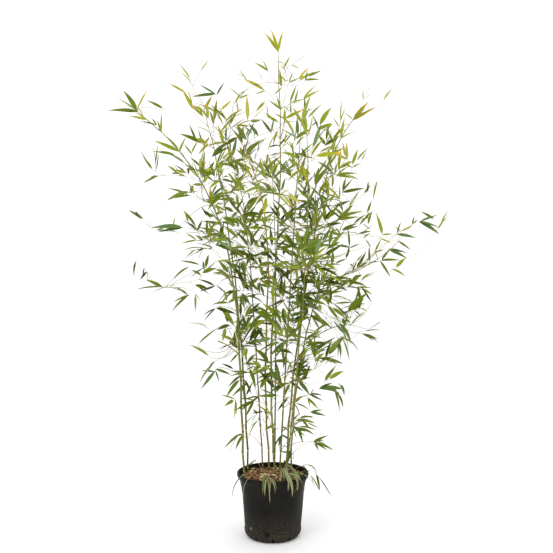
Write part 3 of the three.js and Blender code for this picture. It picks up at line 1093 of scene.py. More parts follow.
# Rows of ClearSpray: the leader's, then the upper right, the left side, the right side, the foot.
CLEAR_SPRAYS = (
    (16, 1622, SUNLIT, ((-30, 85), (-11, 82), (9, 74))),
    (66, 1581, SUNLIT, ((56, 62), (115, 34))),
    (38, 1560, FRESH, ((24, 46), (-48, 20))),
    (-17, 1562, FRESH, ((-26, 42), (-50, 56))),
    (88, 1527, GOLDEN, ((40, 50), (70, 34))),
    (90, 1528, FRESH, ((50, 68),)),
    (55, 1517, FRESH, ((15, 36), (60, 42))),
    (-28, 1497, SUNLIT, ((-54, 84), (-98, 42))),
    (28, 1497, FRESH, ((-4, 62), (-130, 36))),
    (45, 1515, SUNLIT, ((-50, 36),)),
    (103, 1460, SUNLIT, ((35, 72), (58, 64))),
    (58, 1447, FRESH, ((17, 62), (70, 52))),
    (74, 1451, FRESH, ((12, 58),)),
    (42, 1434, FRESH, ((-46, 56), (-14, 52))),
    (-54, 1420, SUNLIT, ((30, 48), (42, 44))),
    (42, 1400, SUNLIT, ((61, 72), (-58, 46))),
    (40, 1378, FRESH, ((0, 56), (70, 54))),
    (101, 1378, BLUISH, ((0, 54), (64, 32))),
    (-13, 1387, DEEP, ((-5, 52),)),
    (-5, 1350, BLUISH, ((8, 52), (-35, 60))),
    (110, 1355, FRESH, ((42, 58),)),
    (292, 1412, SUNLIT, ((38, 80), (58, 92))),
    (283, 1411, FRESH, ((-48, 46),)),
    (188, 1345, MIDDLE, ((4, 66),)),
    (236, 1345, SUNLIT, ((6, 72), (58, 66))),
    (212, 1345, FRESH, ((32, 70), (-20, 48))),
    (-460, 1425, MIDDLE, ((-28, 94), (-88, 74), (-82, 100))),
    (-445, 1422, SUNLIT, ((26, 80),)),
    (-420, 1383, SUNLIT, ((-54, 48), (-76, 58))),
    (-390, 1372, MIDDLE, ((-30, 26), (-78, 56))),
    (-364, 1420, MIDDLE, ((-62, 60),)),
    (-358, 1348, FRESH, ((1, 62), (-16, 48))),
    (-325, 1294, FRESH, ((-36, 74), (-62, 88), (20, 66))),
    (-325, 1265, MIDDLE, ((-70, 58), (-80, 78))),
    (-272, 1275, FRESH, ((18, 52), (-35, 48))),
    (-287, 1465, SUNLIT, ((-8, 72), (-23, 90))),
    (-204, 1510, BLUISH, ((-90, 86), (-60, 68), (25, 60))),
    (-250, 1436, SUNLIT, ((-22, 44), (-42, 62))),
    (-205, 1450, FRESH, ((-58, 50), (150, 60))),
    (-248, 1330, MIDDLE, ((-12, 48), (-62, 84))),
    (-275, 1350, MIDDLE, ((-22, 58), (-58, 50))),
    (-112, 1475, FRESH, ((-42, 48), (32, 48), (62, 40))),
    (-120, 1432, SUNLIT, ((-4, 40),)),
    (-140, 1420, BLUISH, ((8, 46),)),
    (-170, 1355, MIDDLE, ((2, 58), (-38, 80))),
    (-300, 1026, BLUISH, ((-82, 112), (-97, 96))),
    (-336, 1035, SUNLIT, ((2, 32),)),
    (-282, 1044, FRESH, ((-14, 38),)),
    (-255, 985, FRESH, ((-52, 42), (-100, 56))),
    (-245, 902, MIDDLE, ((-74, 70),)),
    (-230, 894, BLUISH, ((-124, 62),)),
    (-372, 818, MIDDLE, ((-60, 66), (-88, 98), (-112, 44))),
    (-285, 801, MIDDLE, ((-50, 56), (-126, 84), (-108, 60))),
    (-257, 803, FRESH, ((180, 56), (140, 30))),
    (-200, 750, DEEP, ((-130, 56), (-112, 48), (106, 78))),
    (-196, 832, DEEP, ((-60, 62), (-108, 58), (125, 48))),
    (-249, 637, MIDDLE, ((46, 96),)),
    (-215, 598, FRESH, ((-48, 78),)),
    (-196, 540, BLUISH, ((-84, 48), (-141, 78), (158, 44), (104, 56))),
    (-134, 552, DEEP, ((-60, 46),)),
    (-120, 600, MIDDLE, ((-136, 42),)),
    (490, 1046, BLUISH, ((66, 68), (98, 76), (108, 98))),
    (466, 1040, BLUISH, ((22, 32), (50, 26))),
    (438, 1017, SUNLIT, ((60, 50), (-48, 34))),
    (421, 1008, BLUISH, ((18, 54), (94, 68))),
    (425, 984, MIDDLE, ((122, 54),)),
    (366, 1004, FRESH, ((-14, 78), (76, 40))),
    (362, 992, SUNLIT, ((110, 46),)),
    (352, 948, FRESH, ((20, 52), (68, 34))),
    (350, 950, GOLDEN, ((152, 36),)),
    (370, 918, MIDDLE, ((34, 54), (83, 68), (146, 68))),
    (400, 958, BLUISH, ((98, 66), (112, 74))),
    (328, 912, BLUISH, ((-2, 56), (76, 44))),
    (285, 914, MIDDLE, ((36, 36), (-150, 40))),
    (256, 964, BLUISH, ((-3, 60), (-80, 48), (64, 38))),
    (236, 1022, MIDDLE, ((62, 54), (76, 58))),
    (238, 1154, MIDDLE, ((12, 56), (38, 60), (78, 82))),
    (228, 1224, FRESH, ((50, 56), (78, 74), (95, 66))),
    (236, 1254, SUNLIT, ((62, 68), (4, 72))),
    (226, 1300, SUNLIT, ((6, 62), (54, 58))),
    (188, 1235, FRESH, ((14, 58), (60, 52))),
    (222, 1060, FRESH, ((46, 66), (66, 96), (80, 82))),
    (215, 1115, MIDDLE, ((80, 40),)),
    (185, 1125, MIDDLE, ((140, 50), (50, 48))),
    (160, 1152, FRESH, ((24, 56), (-40, 44))),
    (-101, 326, MIDDLE, ((-146, 58), (-98, 36))),
    (6, 358, FRESH, ((-114, 46),)),
    (28, 362, MIDDLE, ((116, 38),)),
    (72, 343, MIDDLE, ((162, 42), (104, 52), (125, 64))),
    (98, 373, MIDDLE, ((138, 46),)),
    (65, 368, FRESH, ((40, 46),)),
    (146, 292, MIDDLE, ((158, 36), (112, 54), (74, 40))),
    (130, 462, DEEP, ((25, 24), (90, 44), (115, 56))),
    (120, 444, FRESH, ((162, 34), (137, 64))),
    (130, 398, BLUISH, ((80, 46), (96, 58))),
    (30, 272, MIDDLE, ((96, 46),)),
    (52, 446, DEEP, ((-134, 62),)),
    (-32, 398, DEEP, ((-98, 44), (150, 38))),
    (-52, 446, MIDDLE, ((-92, 42), (-126, 46))),
    (60, 498, DEEP, ((76, 74), (122, 62))),
    (-44, 484, FRESH, ((28, 84),)),
    (-92, 450, BLUISH, ((20, 52),)),
    (-86, 500, MIDDLE, ((-124, 72),)),
)


@dataclass(frozen=True)
class BranchletRule:
    """How a branchlet chooses its bud and bends from there to its spot."""

    steps: int = 16  # points along it
    climb: float = 0.6  # rise against run that suits it best
    climb_cost: float = 0.6  # cost of each metre of rise away from that
    use_cost: float = 0.02  # cost of each branchlet that the bud bears already
    chance: float = 0.03  # greatest random cost
    close: float = 0.07  # distance within which a bud is dear
    close_cost: float = 4.0  # cost of each metre that a bud is too close
    flatness: float = 0.2  # share of the rise in the way that it leaves
    # Weights of that way, of the limb's own way and of chance as it leaves.
    leaving: Triple = (0.75, 0.65, 0.1)
    arriving: float = 0.15  # weight of chance as it arrives
    handles: Pair = (0.38, 0.3)  # lengths of its two handles against its span
    sway: float = 1.1 * MM  # zigzag from point to point
    stoutest: float = 0.6  # greatest radius at the bud against the limb's own
    radius: Pair = (0.0009, 0.005)  # radius at the bud without any span, and what a metre of span adds
    tip_radius: float = 0.5 * MM  # radius at its end
    taper: float = 0.8  # power of the length share by which it thins


@dataclass(frozen=True)
class TwigRule:
    """How twigs stand along a branchlet."""

    steps: int = 6  # points along a twig
    spacing: float = 42 * MM  # gap between two twigs
    edge: float = 1.05  # share of the mass's half size at which the twigs begin
    first: float = 0.012  # how far from there the first one stands, at least
    last: float = 0.006  # gap between the end twig and the one before it
    slide: float = 0.006  # how far a twig may slide from its place
    lowest: float = 0.01  # least distance from the bud
    tilt: float = 0.5  # unevenness of the plane that the twigs share
    turn: float = 0.7  # how far a twig turns out of that plane, in radians
    angle: Pair = (0.45, 1.05)  # least and greatest angle to the branchlet, in radians
    length: Pair = (0.026, 0.06)  # least and greatest length at the branchlet's end
    longer: float = 0.04  # how much longer than that a twig by the bud may be
    longer_share: float = 0.2  # least share of that which it gets
    end_length: float = 0.02  # length of the twig that carries the branchlet on
    lift: float = 0.5  # share of the habit's rise in its way
    stray: float = 0.12  # weight of chance in its way
    sag: float = -0.12  # how far its way has dropped at the tip
    radius: Pair = (0.6 * MM, 0.4 * MM)  # radius at its foot and at its tip
    counts: tuple[float, ...] = (0.25, 0.42, 0.26, 0.07)  # chances of one, two, three and four leaves


@dataclass(frozen=True)
class SprayRule:
    """How leaves are set at the end of a twig."""

    step: Pair = (0.009, 0.02)  # least and greatest gap between two leaves
    reach: float = 0.8  # share of the twig along which they may stand
    level: float = 0.1  # sideways push that keeps the spray's plane defined on an upright twig
    spin: float = 1.1  # how far that plane may turn about the twig, in radians
    fan: float = 0.38  # least angle of the side leaves to the twig, in radians
    widening: float = 0.14  # what each leaf further back adds to that
    waver: Pair = (0.15, 0.16)  # unevenness of the angle of the end leaf and of the side leaves
    lift: float = 0.3  # share of the habit's rise in a leaf's way
    stray: float = 0.24  # weight of chance in a leaf's way
    end_length: float = 1.05  # length of the end leaf against the others
    shortening: float = 0.06  # what each leaf further back loses of its length
    shortest: float = 0.6  # least share of its length that the plant's box may leave a leaf
    roll: float = 0.45  # unevenness of the way that the upper faces look
    droop_spread: float = 0.2  # unevenness of the droop, in radians
    twist_spread: float = 0.35  # unevenness of the twist, in radians
    own_kind: float = 0.25  # chance that a leaf differs in kind from its spray


@dataclass(frozen=True)
class ClearRule:
    """How the sprays that stand clear are grown."""

    above_cost: float = 0.6  # cost of each metre that a bud is above its spray
    depth: float = 0.03  # how far a spray may sit in front of its bud or behind it
    on_the_bud: float = 0.02  # distance within which a spray needs no branchlet
    spread: float = 0.2  # unevenness of the leaves' ways from front to back
    lift: float = 0.3  # weight of the upward way as its branchlet arrives
    step: float = 3 * MM  # gap between two leaves
    look: Pair = (0.35, 0.4)  # upward share, and weight of chance, in the way that the upper faces look
    slender: Pair = (0.11, 0.185)  # least and greatest width of a blade against its length
    droop: Pair = (0.02, 0.3)  # least and greatest angle through which blades bend down, in radians
    twist_spread: float = 0.3  # unevenness of the twist, in radians


@dataclass(frozen=True)
class TuftRule:
    """How a short leafy branchlet leaves a joint of a cane."""

    heights: Pair = (0.5, 1.15)  # lowest and highest joint that bears one
    near: float = 1.3  # share of a mass's half size within which a joint counts as in it
    climb: float = 0.8  # rise against run
    reach: Pair = (0.07, 0.13)  # shortest and longest span
    margin: float = 0.05  # how far it stays inside the plant's box


@dataclass
class Growth:
    """What has grown in one storey.

    Branchlets are kept one by one, twigs in a set for each branchlet, both with their radii and
    the index of their bark.
    """

    habit: Habit
    branchlets: list[Array] = field(default_factory=list)
    branchlet_radii: list[Array] = field(default_factory=list)
    bark: list[int] = field(default_factory=list)
    twigs: list[Array] = field(default_factory=list)
    twig_radii: list[Array] = field(default_factory=list)
    twig_bark: list[int] = field(default_factory=list)
    leaves: Leaves = field(default_factory=Leaves)

    def build(self, label: str, nodes: list[str]) -> None:
        """Makes one piece of the leaves and one of the branchlets and twigs.

        Args:
            label: ending of the pieces' names.
            nodes: masses that the leaves stand for.
        """
        blades = Surface()
        self.leaves.add_to(blades)
        settle(blades.build(f"leaves_{label}", leaf_materials(), 4), nodes)
        wood = Surface()
        bark = np.array(self.bark)[:, None, None]
        lines = np.stack(self.branchlets)
        wood.add_tubes(tube_grid(lines, np.stack(self.branchlet_radii), 6), slots=bark)
        counts = [len(lines) for lines in self.twigs]
        slots = np.repeat(self.twig_bark, counts)[:, None, None]
        lines = np.concatenate(self.twigs)
        wood.add_tubes(tube_grid(lines, np.concatenate(self.twig_radii), 4), slots=slots)
        materials = [finish.material() for finish in TWIG_FINISHES]
        settle(wood.build(f"twigs_{label}", materials))
        LOG.info("%s: %d leaves on %d twigs", label, len(self.leaves.all("kind")), sum(counts))


@dataclass
class Crown:
    """The whole crown, grown mass by mass from the buds of canes and boughs.

    The branching rule: a branchlet leaves the bud that reaches a bare spot of the mass at least
    cost, bends up and out to it, and bears twigs left and right in turn where it runs through
    the mass. Every twig ends in a spray of one to four leaves, set left and right in turn and
    ending in one that points ahead. A grown branchlet offers new buds to masses further out.
    """

    places: Array  # where the buds are
    ways: Array  # unit directions of the limbs that carry them
    radii: Array  # radii of those limbs
    seed: int = 18  # start of all random numbers
    spot_tries: int = 14  # how many spots are weighed before each branchlet
    spot_reach: float = 0.8  # share of a mass's half size within which the spots lie
    # Weight of each axis when spots are weighed by how bare they are.
    bareness: Triple = (1.0, 0.55, 1.0)
    axis: float = 0.04  # how far to the right of the middle the plant's axis stands
    thinnest: float = 0.26  # least fill of a mass
    full_width: float = 0.055  # half width below which a mass is filled more thinly
    highest_spot: float = 1.53  # height that only the leader grows past
    leaves_per_twig: float = 2.15  # how many leaves a twig bears on the whole
    leaf_share: float = 0.62  # area of a blade against its length times its greatest width
    bud_every: int = 3  # of how many points of a branchlet one becomes a bud
    bud_reach: float = 1.1  # share of a mass's half size within which they lie
    bud_stoutness: float = 1.4  # radius that such a bud counts as against the branchlet's own
    tip_leaves: int = 3  # how many leaves crown a cane
    overhang: float = 1.2  # how far past a mass's outline its twigs may end
    margin: float = 0.006  # how far leaf tips stay inside the plant's box
    tip_margin: float = -0.012  # the same for the leaves that crown the canes
    branchlet: BranchletRule = BranchletRule()
    twig: TwigRule = TwigRule()
    side_spray: SprayRule = SprayRule()  # how leaves are set on twigs
    end_spray: SprayRule = SprayRule(spin=0.2, fan=0.42)  # how leaves are set on the canes' tips
    clear: ClearRule = ClearRule()
    tuft: TuftRule = TuftRule()
    growths: dict[Storey, Growth] = field(default_factory=dict)

    def build(self) -> None:
        """Grows the sprays that stand clear, the tufts, and every mass, the nearest first."""
        nodes = sorted(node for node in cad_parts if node.startswith("foliage_"))
        self.masses = [Mass.packed(node) for node in nodes]
        loose = [Mass(np.array(low), np.array(high), fill=fill) for low, high, fill in LOOSE_FOLIAGE]
        masses = sorted([*self.masses, *loose], key=self._remoteness)
        self.growths = {storey: Growth(storey.value) for storey in Storey}
        self.uses = np.zeros(len(self.places))
        self.tips = np.zeros((1, 3))
        self._clear_sprays(np.random.default_rng(self.seed + 1))
        self._tufts(np.random.default_rng(self.seed))
        for number, mass in enumerate(masses):
            self._fill(mass, np.random.default_rng([self.seed, number]))

    def make(self) -> None:
        """Makes the leaves and the twigs of each storey."""
        for storey, growth in self.growths.items():
            stood_for = [mass.node for mass in self.masses if mass.storey is storey]
            growth.build(storey.name.lower(), stood_for)

    def _remoteness(self, mass: Mass) -> float:
        """Distance from the mass's middle to the nearest bud."""
        return float(np.linalg.norm(self.places - mass.middle, axis=1).min())

    def _clear_sprays(self, rng: Any) -> None:
        """Grows the sprays that stand clear, each from the bud nearest to it from the front."""
        rule = self.clear
        for clear in (ClearSpray(*row) for row in CLEAR_SPRAYS):
            lean, length = np.array(clear.leaves, dtype=float).T
            lean, n = np.radians(lean), len(lean)
            seen = np.array([clear.x, 0, clear.z]) * MM
            gaps = np.linalg.norm((self.places - seen)[:, [0, 2]], axis=1)
            gaps = gaps + rule.above_cost * np.maximum(self.places[:, 2] - seen[2], 0)
            nearest = int(gaps.argmin())
            behind = rng.uniform(-rule.depth, rule.depth) * REARWARD
            spot = seen + self.places[nearest] * REARWARD + behind
            growth = self.growths[storey_at(spot[2])]
            ways = np.stack([np.sin(lean), rng.normal(0, rule.spread, n), np.cos(lean)], -1)
            arrive = unit(ways.sum(0) + rule.lift * UP)
            if gaps[nearest] > rule.on_the_bud:
                self._limb(growth, growth.habit, spot, arrive, rng)
            else:
                spot = self.places[nearest]
            length = length * MM
            heading = unit(ways)
            upward, stray = rule.look
            look = upward * UP - REARWARD + stray * rng.normal(size=(n, 3))
            growth.leaves.add(
                base=spot - rule.step * np.arange(n)[:, None] * arrive,
                heading=heading,
                face=square_to(heading, look),
                length=length,
                width=length * rng.uniform(*rule.slender, n),
                droop=rng.uniform(*rule.droop, n),
                twist=rng.normal(0, rule.twist_spread, n),
                kind=np.full(n, KIND_INDEX[clear.kind]),
            )
            self.tips = np.concatenate([self.tips, np.tile(spot, (n, 1))])

    def _tufts(self, rng: Any) -> None:
        """Grows a short leafy branchlet up and out of every joint that stands in a mass."""
        rule = self.tuft
        low, high = rule.heights
        joints = self.places[(self.places[:, 2] > low) & (self.places[:, 2] < high)]
        room = plant_room(rule.margin)
        for place in joints:
            near = [mass for mass in self.masses if mass.inside(place, rule.near)]
            if near:
                way = unit(np.append(rng.normal(size=2), 0.0)) + rule.climb * UP
                spot = np.clip(place + rng.uniform(*rule.reach) * unit(way), *room)
                self._branchlet(near[0], spot, rng)

    def _fill(self, mass: Mass, rng: Any) -> None:
        """Grows branchlets in the mass until its leaves cover the wanted share of its outline."""
        habit = mass.storey.value
        blade = sum(habit.blade) / 2
        leaf_area = self.leaf_share * blade * blade * sum(habit.slender) / 2
        aside = (mass.middle[0] - self.axis) / habit.spread
        fill = mass.fill or max(habit.fill * math.exp(-(aside**2)), self.thinnest)
        fill *= min(mass.half[0] / self.full_width, 1) ** 2
        wanted = fill * mass.outline() / leaf_area
        grown = int(mass.inside(self.tips).sum()) * self.leaves_per_twig
        while grown < wanted:
            spots = mass.somewhere(self.spot_tries, self.spot_reach, rng)
            spots[:, 2] = np.minimum(spots[:, 2], self.highest_spot)
            gaps = (spots[:, None] - self.tips) * self.bareness
            spot = spots[np.linalg.norm(gaps, axis=-1).min(1).argmax()]
            grown += self._branchlet(mass, spot, rng)

    def _choose_bud(self, spot: Array, rng: Any) -> int:
        """The bud from which a branchlet reaches the spot at least cost.

        The cost is the distance, plus a share of how far the rise differs from the one that
        suits the run, a toll for buds in use, a little chance and a toll for buds too close.

        Args:
            spot: where the branchlet ends.
            rng: random numbers.

        Returns:
            The bud's place in the list.
        """
        rule = self.branchlet
        reach = spot - self.places
        distance = np.linalg.norm(reach, axis=1)
        run = np.linalg.norm(reach[:, :2], axis=1)
        off = np.abs(reach[:, 2] - rule.climb * run)
        cost = distance + rule.climb_cost * off + rule.use_cost * self.uses
        close = np.maximum(rule.close - distance, 0)
        cost = cost + rule.chance * rng.uniform(size=len(cost)) + close * rule.close_cost
        return int(cost.argmin())

    def _branchlet(self, mass: Mass, spot: Array, rng: Any) -> int:
        """Grows one branchlet to a spot, with its twigs and leaves.

        Args:
            mass: where it grows.
            spot: where it ends.
            rng: the mass's random numbers.

        Returns:
            How many leaves it bears.
        """
        growth, habit = self.growths[mass.storey], mass.storey.value
        line, radius = self._limb(growth, habit, spot, None, rng)
        self._offer_buds(line, radius, mass)
        return self._twigs(growth, habit, mass, line, rng)

    def _limb(
        self, growth: Growth, habit: Habit, spot: Array, arrive: Array | None, rng: Any
    ) -> tuple[Array, Array]:
        """Grows a bare branchlet from a bud to a spot.

        Args:
            growth: what it joins.
            habit: how it grows.
            spot: where it ends.
            arrive: direction of its end, or None where the habit decides.
            rng: random numbers.

        Returns:
            Its points and their radii.
        """
        rule = self.branchlet
        bud = self._choose_bud(spot, rng)
        self.uses[bud] += 1
        start, way = self.places[bud], self.ways[bud]
        reach = spot - start
        distance = float(np.linalg.norm(reach))
        outward = unit(reach * np.array([1, 1, rule.flatness]) + 1e-6)
        out, on, stray = rule.leaving
        leave = unit(out * outward + on * way + stray * rng.normal(size=3))
        if arrive is None:
            arrive = unit(unit(reach) + habit.rise * UP + rule.arriving * rng.normal(size=3))
        near, far = rule.handles
        first = start + near * distance * leave
        second = spot - far * distance * arrive
        line = bezier(start[None], first[None], second[None], spot[None], rule.steps)[0]
        zigzag = rule.sway * (-1.0) ** np.arange(rule.steps)
        zigzag[[0, -1]] = 0
        line = line + zigzag[:, None] * square_to(outward, rng.normal(size=3))
        share = np.linspace(0, 1, rule.steps)
        least, more = rule.radius
        thick = min(rule.stoutest * self.radii[bud], least + more * distance)
        radius = thick + (rule.tip_radius - thick) * share**rule.taper
        growth.branchlets.append(line)
        growth.branchlet_radii.append(radius)
        growth.bark.append(int(rng.choice(3, p=habit.bark)))
        return line, radius

    def _offer_buds(self, line: Array, radius: Array, mass: Mass) -> None:
        """Adds the outer points of a branchlet that lie in the mass to the buds."""
        ways = tangents(line)
        place = np.arange(1, len(line) + 1)
        keep = mass.inside(line, self.bud_reach) & (place % self.bud_every == 0)
        self.places = np.concatenate([self.places, line[keep]])
        self.ways = np.concatenate([self.ways, ways[keep]])
        self.radii = np.concatenate([self.radii, self.bud_stoutness * radius[keep]])
        self.uses = np.concatenate([self.uses, np.ones(int(keep.sum()))])

    def _twigs(self, growth: Growth, habit: Habit, mass: Mass, line: Array, rng: Any) -> int:
        """Grows the twigs of one branchlet.

        Args:
            growth: what the twigs and leaves join.
            habit: how they grow.
            mass: where they grow.
            line: the branchlet's points.
            rng: random numbers.

        Returns:
            How many leaves they bear.
        """
        rule = self.twig
        run = run_along(line)
        first = run[np.argmax(mass.inside(line, rule.edge))] + rule.first
        at = np.append(np.arange(run[-1] - rule.last, first, -rule.spacing)[::-1], run[-1])
        at[:-1] += rng.uniform(-rule.slide, rule.slide, len(at) - 1)
        at = np.clip(at, rule.lowest, run[-1])
        base = at_run(at, run, line)
        way = unit(at_run(at, run, tangents(line)))
        side = square_to(way, np.cross(way, UP) + rule.tilt * rng.normal(size=(1, 3)))
        side = turned(side, way, rng.normal(0, rule.turn, len(at)))
        hand = (-1.0) ** (np.arange(len(at)) + rng.integers(2))
        angle = rng.uniform(*rule.angle, len(at)) * hand
        angle[-1] = 0
        left = (run[-1] - at) / max(run[-1], 1e-6)
        length = rng.uniform(*rule.length, len(at))
        length = length + rule.longer * left * rng.uniform(rule.longer_share, 1, len(at))
        length[-1] = rule.end_length
        out = unit(
            np.cos(angle)[:, None] * way
            + np.sin(angle)[:, None] * side
            + habit.rise * rule.lift * UP
            + rule.stray * rng.normal(size=way.shape)
        )
        sag = rule.sag * UP
        tip = base + length[:, None] * unit(out + sag)
        bend = length[:, None] / 3
        lines = bezier(base, base + bend * out, tip - bend * unit(out + 2 * sag), tip, rule.steps)
        kept = mass.inside(tip, self.overhang)
        kept[-1] = True
        lines, tip = lines[kept], tip[kept]
        thin = np.linspace(*rule.radius, rule.steps)
        growth.twigs.append(lines)
        growth.twig_bark.append(growth.bark[-1])
        growth.twig_radii.append(np.broadcast_to(thin, (len(tip), rule.steps)))
        count = rng.choice(1 + np.arange(len(rule.counts)), len(tip), p=rule.counts)
        room = mass.room(self.overhang, self.margin)
        spray(growth.leaves, habit, lines, count, room, self.side_spray, rng)
        self.tips = np.concatenate([self.tips, tip])
        return int(count.sum())

    def crown_canes(self, lines: Array) -> None:
        """Ends the canes in sprays that point where the canes do.

        Args:
            lines: last points of each cane, shape (C, S, 3).
        """
        rng = np.random.default_rng(self.seed)
        room = plant_room(self.tip_margin)
        for line in lines[lines[:, -1, 2] < self.highest_spot]:
            growth = self.growths[storey_at(line[-1, 2])]
            habit = replace(growth.habit, rise=0.6, droop=0.05, blade=(0.064, 0.076))
            count = np.array([self.tip_leaves])
            spray(growth.leaves, habit, line[None], count, room, self.end_spray, rng)


def spray(
    leaves: Leaves, habit: Habit, lines: Array, count: Array,
    room: tuple[Array, Array], rule: SprayRule, rng: Any,
) -> None:
    """Sets the leaves at the ends of twigs, left and right in turn.

    The last leaf of each twig points ahead. The further back a leaf sits, the wider it
    stands off the twig.

    Args:
        leaves: what the leaves join.
        habit: how they grow.
        lines: the twigs' points, shape (T, S, 3).
        count: leaves on each twig, shape (T,).
        room: corners of the box that the leaves' tips stay in.
        rule: how they are set.
        rng: random numbers.
    """
    twig = np.repeat(np.arange(len(lines)), count)
    rank = np.arange(len(twig)) - np.repeat(np.cumsum(count) - count, count)
    n = len(twig)
    tips, ends = lines[:, -1], unit(lines[:, -1] - lines[:, -2])
    reach = np.linalg.norm(tips - lines[:, 0], axis=1)[twig]
    back = np.minimum(rank * rng.uniform(*rule.step, n), rule.reach * reach)
    base = tips[twig] - back[:, None] * ends[twig]
    level = square_to(ends, np.cross(ends, UP) + np.array([rule.level, 0, 0]))
    side = turned(level, ends, rng.uniform(-rule.spin, rule.spin, len(lines)))[twig]
    above = np.cross(side, ends[twig])
    above = np.where(above[:, 2:] < 0, -above, above)
    hand = (-1.0) ** (rank + rng.integers(2, size=len(lines))[twig])
    ahead = rng.normal(0, rule.waver[0], n)
    aside = rule.fan + rule.widening * rank + rng.normal(0, rule.waver[1], n)
    angle = np.where(rank == 0, ahead, aside)
    heading = unit(
        np.cos(angle)[:, None] * ends[twig]
        + (hand * np.sin(angle))[:, None] * side
        + rule.lift * habit.rise * UP
        + rule.stray * rng.normal(size=(n, 3))
    )
    shorter = np.where(rank == 0, rule.end_length, 1 - rule.shortening * rank)
    length = rng.uniform(*habit.blade, n) * shorter
    reach = np.clip(base + length[:, None] * heading, *room) - base
    heading = unit(reach)
    length = np.clip(np.linalg.norm(reach, axis=1), rule.shortest * length, length)
    face = square_to(heading, above + rule.roll * rng.normal(size=(n, 3)))
    width = length * rng.uniform(*habit.slender, n)
    droop = np.abs(rng.normal(habit.droop, rule.droop_spread, n))
    twist = rng.normal(0, rule.twist_spread, n)
    kinds = np.array([KIND_INDEX[kind] for kind in habit.kinds])
    shares = np.array(list(habit.kinds.values()))
    of_twig = rng.choice(kinds, len(lines), p=shares / shares.sum())
    own = rng.choice(kinds, n, p=shares / shares.sum())
    kind = np.where(rng.uniform(size=n) < rule.own_kind, own, of_twig[twig])
    leaves.add(
        base=base, heading=heading, face=face, length=length,
        width=width, droop=droop, twist=twist, kind=kind,
    )


# ---- Pot and mulch ----


def ripple(angle: Array, height: Array, seed: int, waves: int = 6) -> Array:
    """Smooth seeded unevenness round a turned wall, within about 1 either way.

    It is a sum of cosines, each with a whole number of waves round the wall, its own slope up
    the wall and its own phase.
    """
    rng = np.random.default_rng(seed)
    total = np.zeros(np.broadcast(angle, height).shape)
    for _ in range(waves):
        round_, slope, phase = rng.integers(2, 9), rng.uniform(-40, 40), rng.uniform(0, 6.3)
        total = total + np.cos(round_ * angle + slope * height + phase)
    return total / math.sqrt(waves) / 1.6


@dataclass
class Pot:
    """Nursery pot with a rolled collar, a faint step, dents and drainage slots at its foot."""

    height: float = 0.210
    rim_radius: float = 0.120
    collar_height: float = 0.025
    body_top_radius: float = 0.110
    body_foot_radius: float = 0.097
    foot_radius: float = 0.076
    heel_height: float = 0.027
    wall: float = 0.0025
    floor: float = 0.003
    lip: float = 0.0036
    step_height: float = 0.148
    step_depth: float = 0.0012
    dent: float = 0.0015
    sides: int = 240
    undented: Pair = (0.03, 0.02)
    slots: int = 10
    slot_points: int = 12
    slot_width: float = 0.15
    slot_edge: float = 0.04
    slot_height: Pair = (0.004, 0.012)
    slot_depth: float = 0.004

    def body_radius(self, height: Array) -> Array:
        """Outer radius between heel and collar."""
        share = (height - self.heel_height) / (self.height - self.collar_height - self.heel_height)
        body = self.body_foot_radius + (self.body_top_radius - self.body_foot_radius) * share
        return body - self.step_depth * (height < self.step_height)

    def profile(self) -> Array:
        """Radius and height along the section, from the underside round the rim to the floor."""
        turn = np.linspace(0, math.pi / 2, 9)
        heel_r = self.foot_radius + (self.body_foot_radius - self.foot_radius) * np.sin(turn)
        heel_z = self.heel_height * (1 - np.cos(turn))
        collar_foot = self.height - self.collar_height
        below = np.linspace(self.heel_height, self.step_height - 0.001, 24)[1:]
        above = np.linspace(self.step_height + 0.001, collar_foot, 9)
        wall_z = np.concatenate([below, above])
        lip_turn = np.linspace(0, math.pi, 9)
        lip_r = self.rim_radius - self.lip + self.lip * np.cos(lip_turn)
        lip_z = self.height - self.lip + self.lip * np.sin(lip_turn)
        out = self.rim_radius
        collar = [
            (self.body_top_radius + 0.0012, collar_foot + 0.003),
            (out - 0.0062, collar_foot + 0.0055),
            (out - 0.0034, collar_foot + 0.0085),
            (out - 0.0012, collar_foot + 0.0125),
            (out - 0.0002, self.height - self.lip - 0.0045),
        ]
        inner_top = self.rim_radius - 2 * self.lip
        inner_z = np.linspace(self.height - 2 * self.lip, self.heel_height, 14)
        inner_r = np.minimum(self.body_radius(inner_z) - self.wall, inner_top)
        inner_r[0] = inner_top
        floor = [(self.foot_radius - self.wall, self.floor), (0.012, self.floor)]
        parts = [
            [(0.012, 0.0), (self.foot_radius - 0.006, 0.0)],
            np.stack([heel_r, heel_z], 1),
            np.stack([self.body_radius(wall_z), wall_z], 1),
            collar,
            np.stack([lip_r, lip_z], 1),
            np.stack([inner_r, inner_z], 1),
            floor,
        ]
        return np.concatenate([np.asarray(part, float) for part in parts])

    def build(self) -> Any:
        """Turns the section, dents the wall and sinks the drainage slots.

        Returns:
            The pot's object.
        """
        section = self.profile()
        radius, height = section[:, :1], section[:, 1:]
        angle = np.linspace(0, TURN, self.sides, endpoint=False)[None]
        stiff, fade = self.undented
        free = np.clip(height / stiff, 0, 1) * np.clip((self.height - stiff - height) / fade, 0, 1)
        dented = radius - self.dent * (1 + ripple(angle, height, 3)) * free
        place = np.abs((angle * self.slots / TURN) % 1 - 0.5) * 2
        inset = np.clip((self.slot_width - place) / self.slot_edge + 0.5, 0, 1)
        low, high = self.slot_height
        outer = np.arange(len(section))[:, None] < self.slot_points
        band = (height > low) & (height < high) & outer
        dented = dented - self.slot_depth * inset * band
        up = np.broadcast_to(height, dented.shape)
        grid = np.stack([dented * np.cos(angle), dented * np.sin(angle), up], -1)
        # The middles of the sunk slots get painted shade, in place of the dark inside of open drainage
        # holes.
        slot_shade_faces = (inset > 0.4) & band
        surface = Surface()
        surface.add_tubes(grid[None], slots=slot_shade_faces[None, :-1].astype(int))
        finish = PotFinish()
        piece = surface.build("pot_shell", [finish.material(), finish.slot_shade()])
        settle(piece, ["pot"])
        return piece


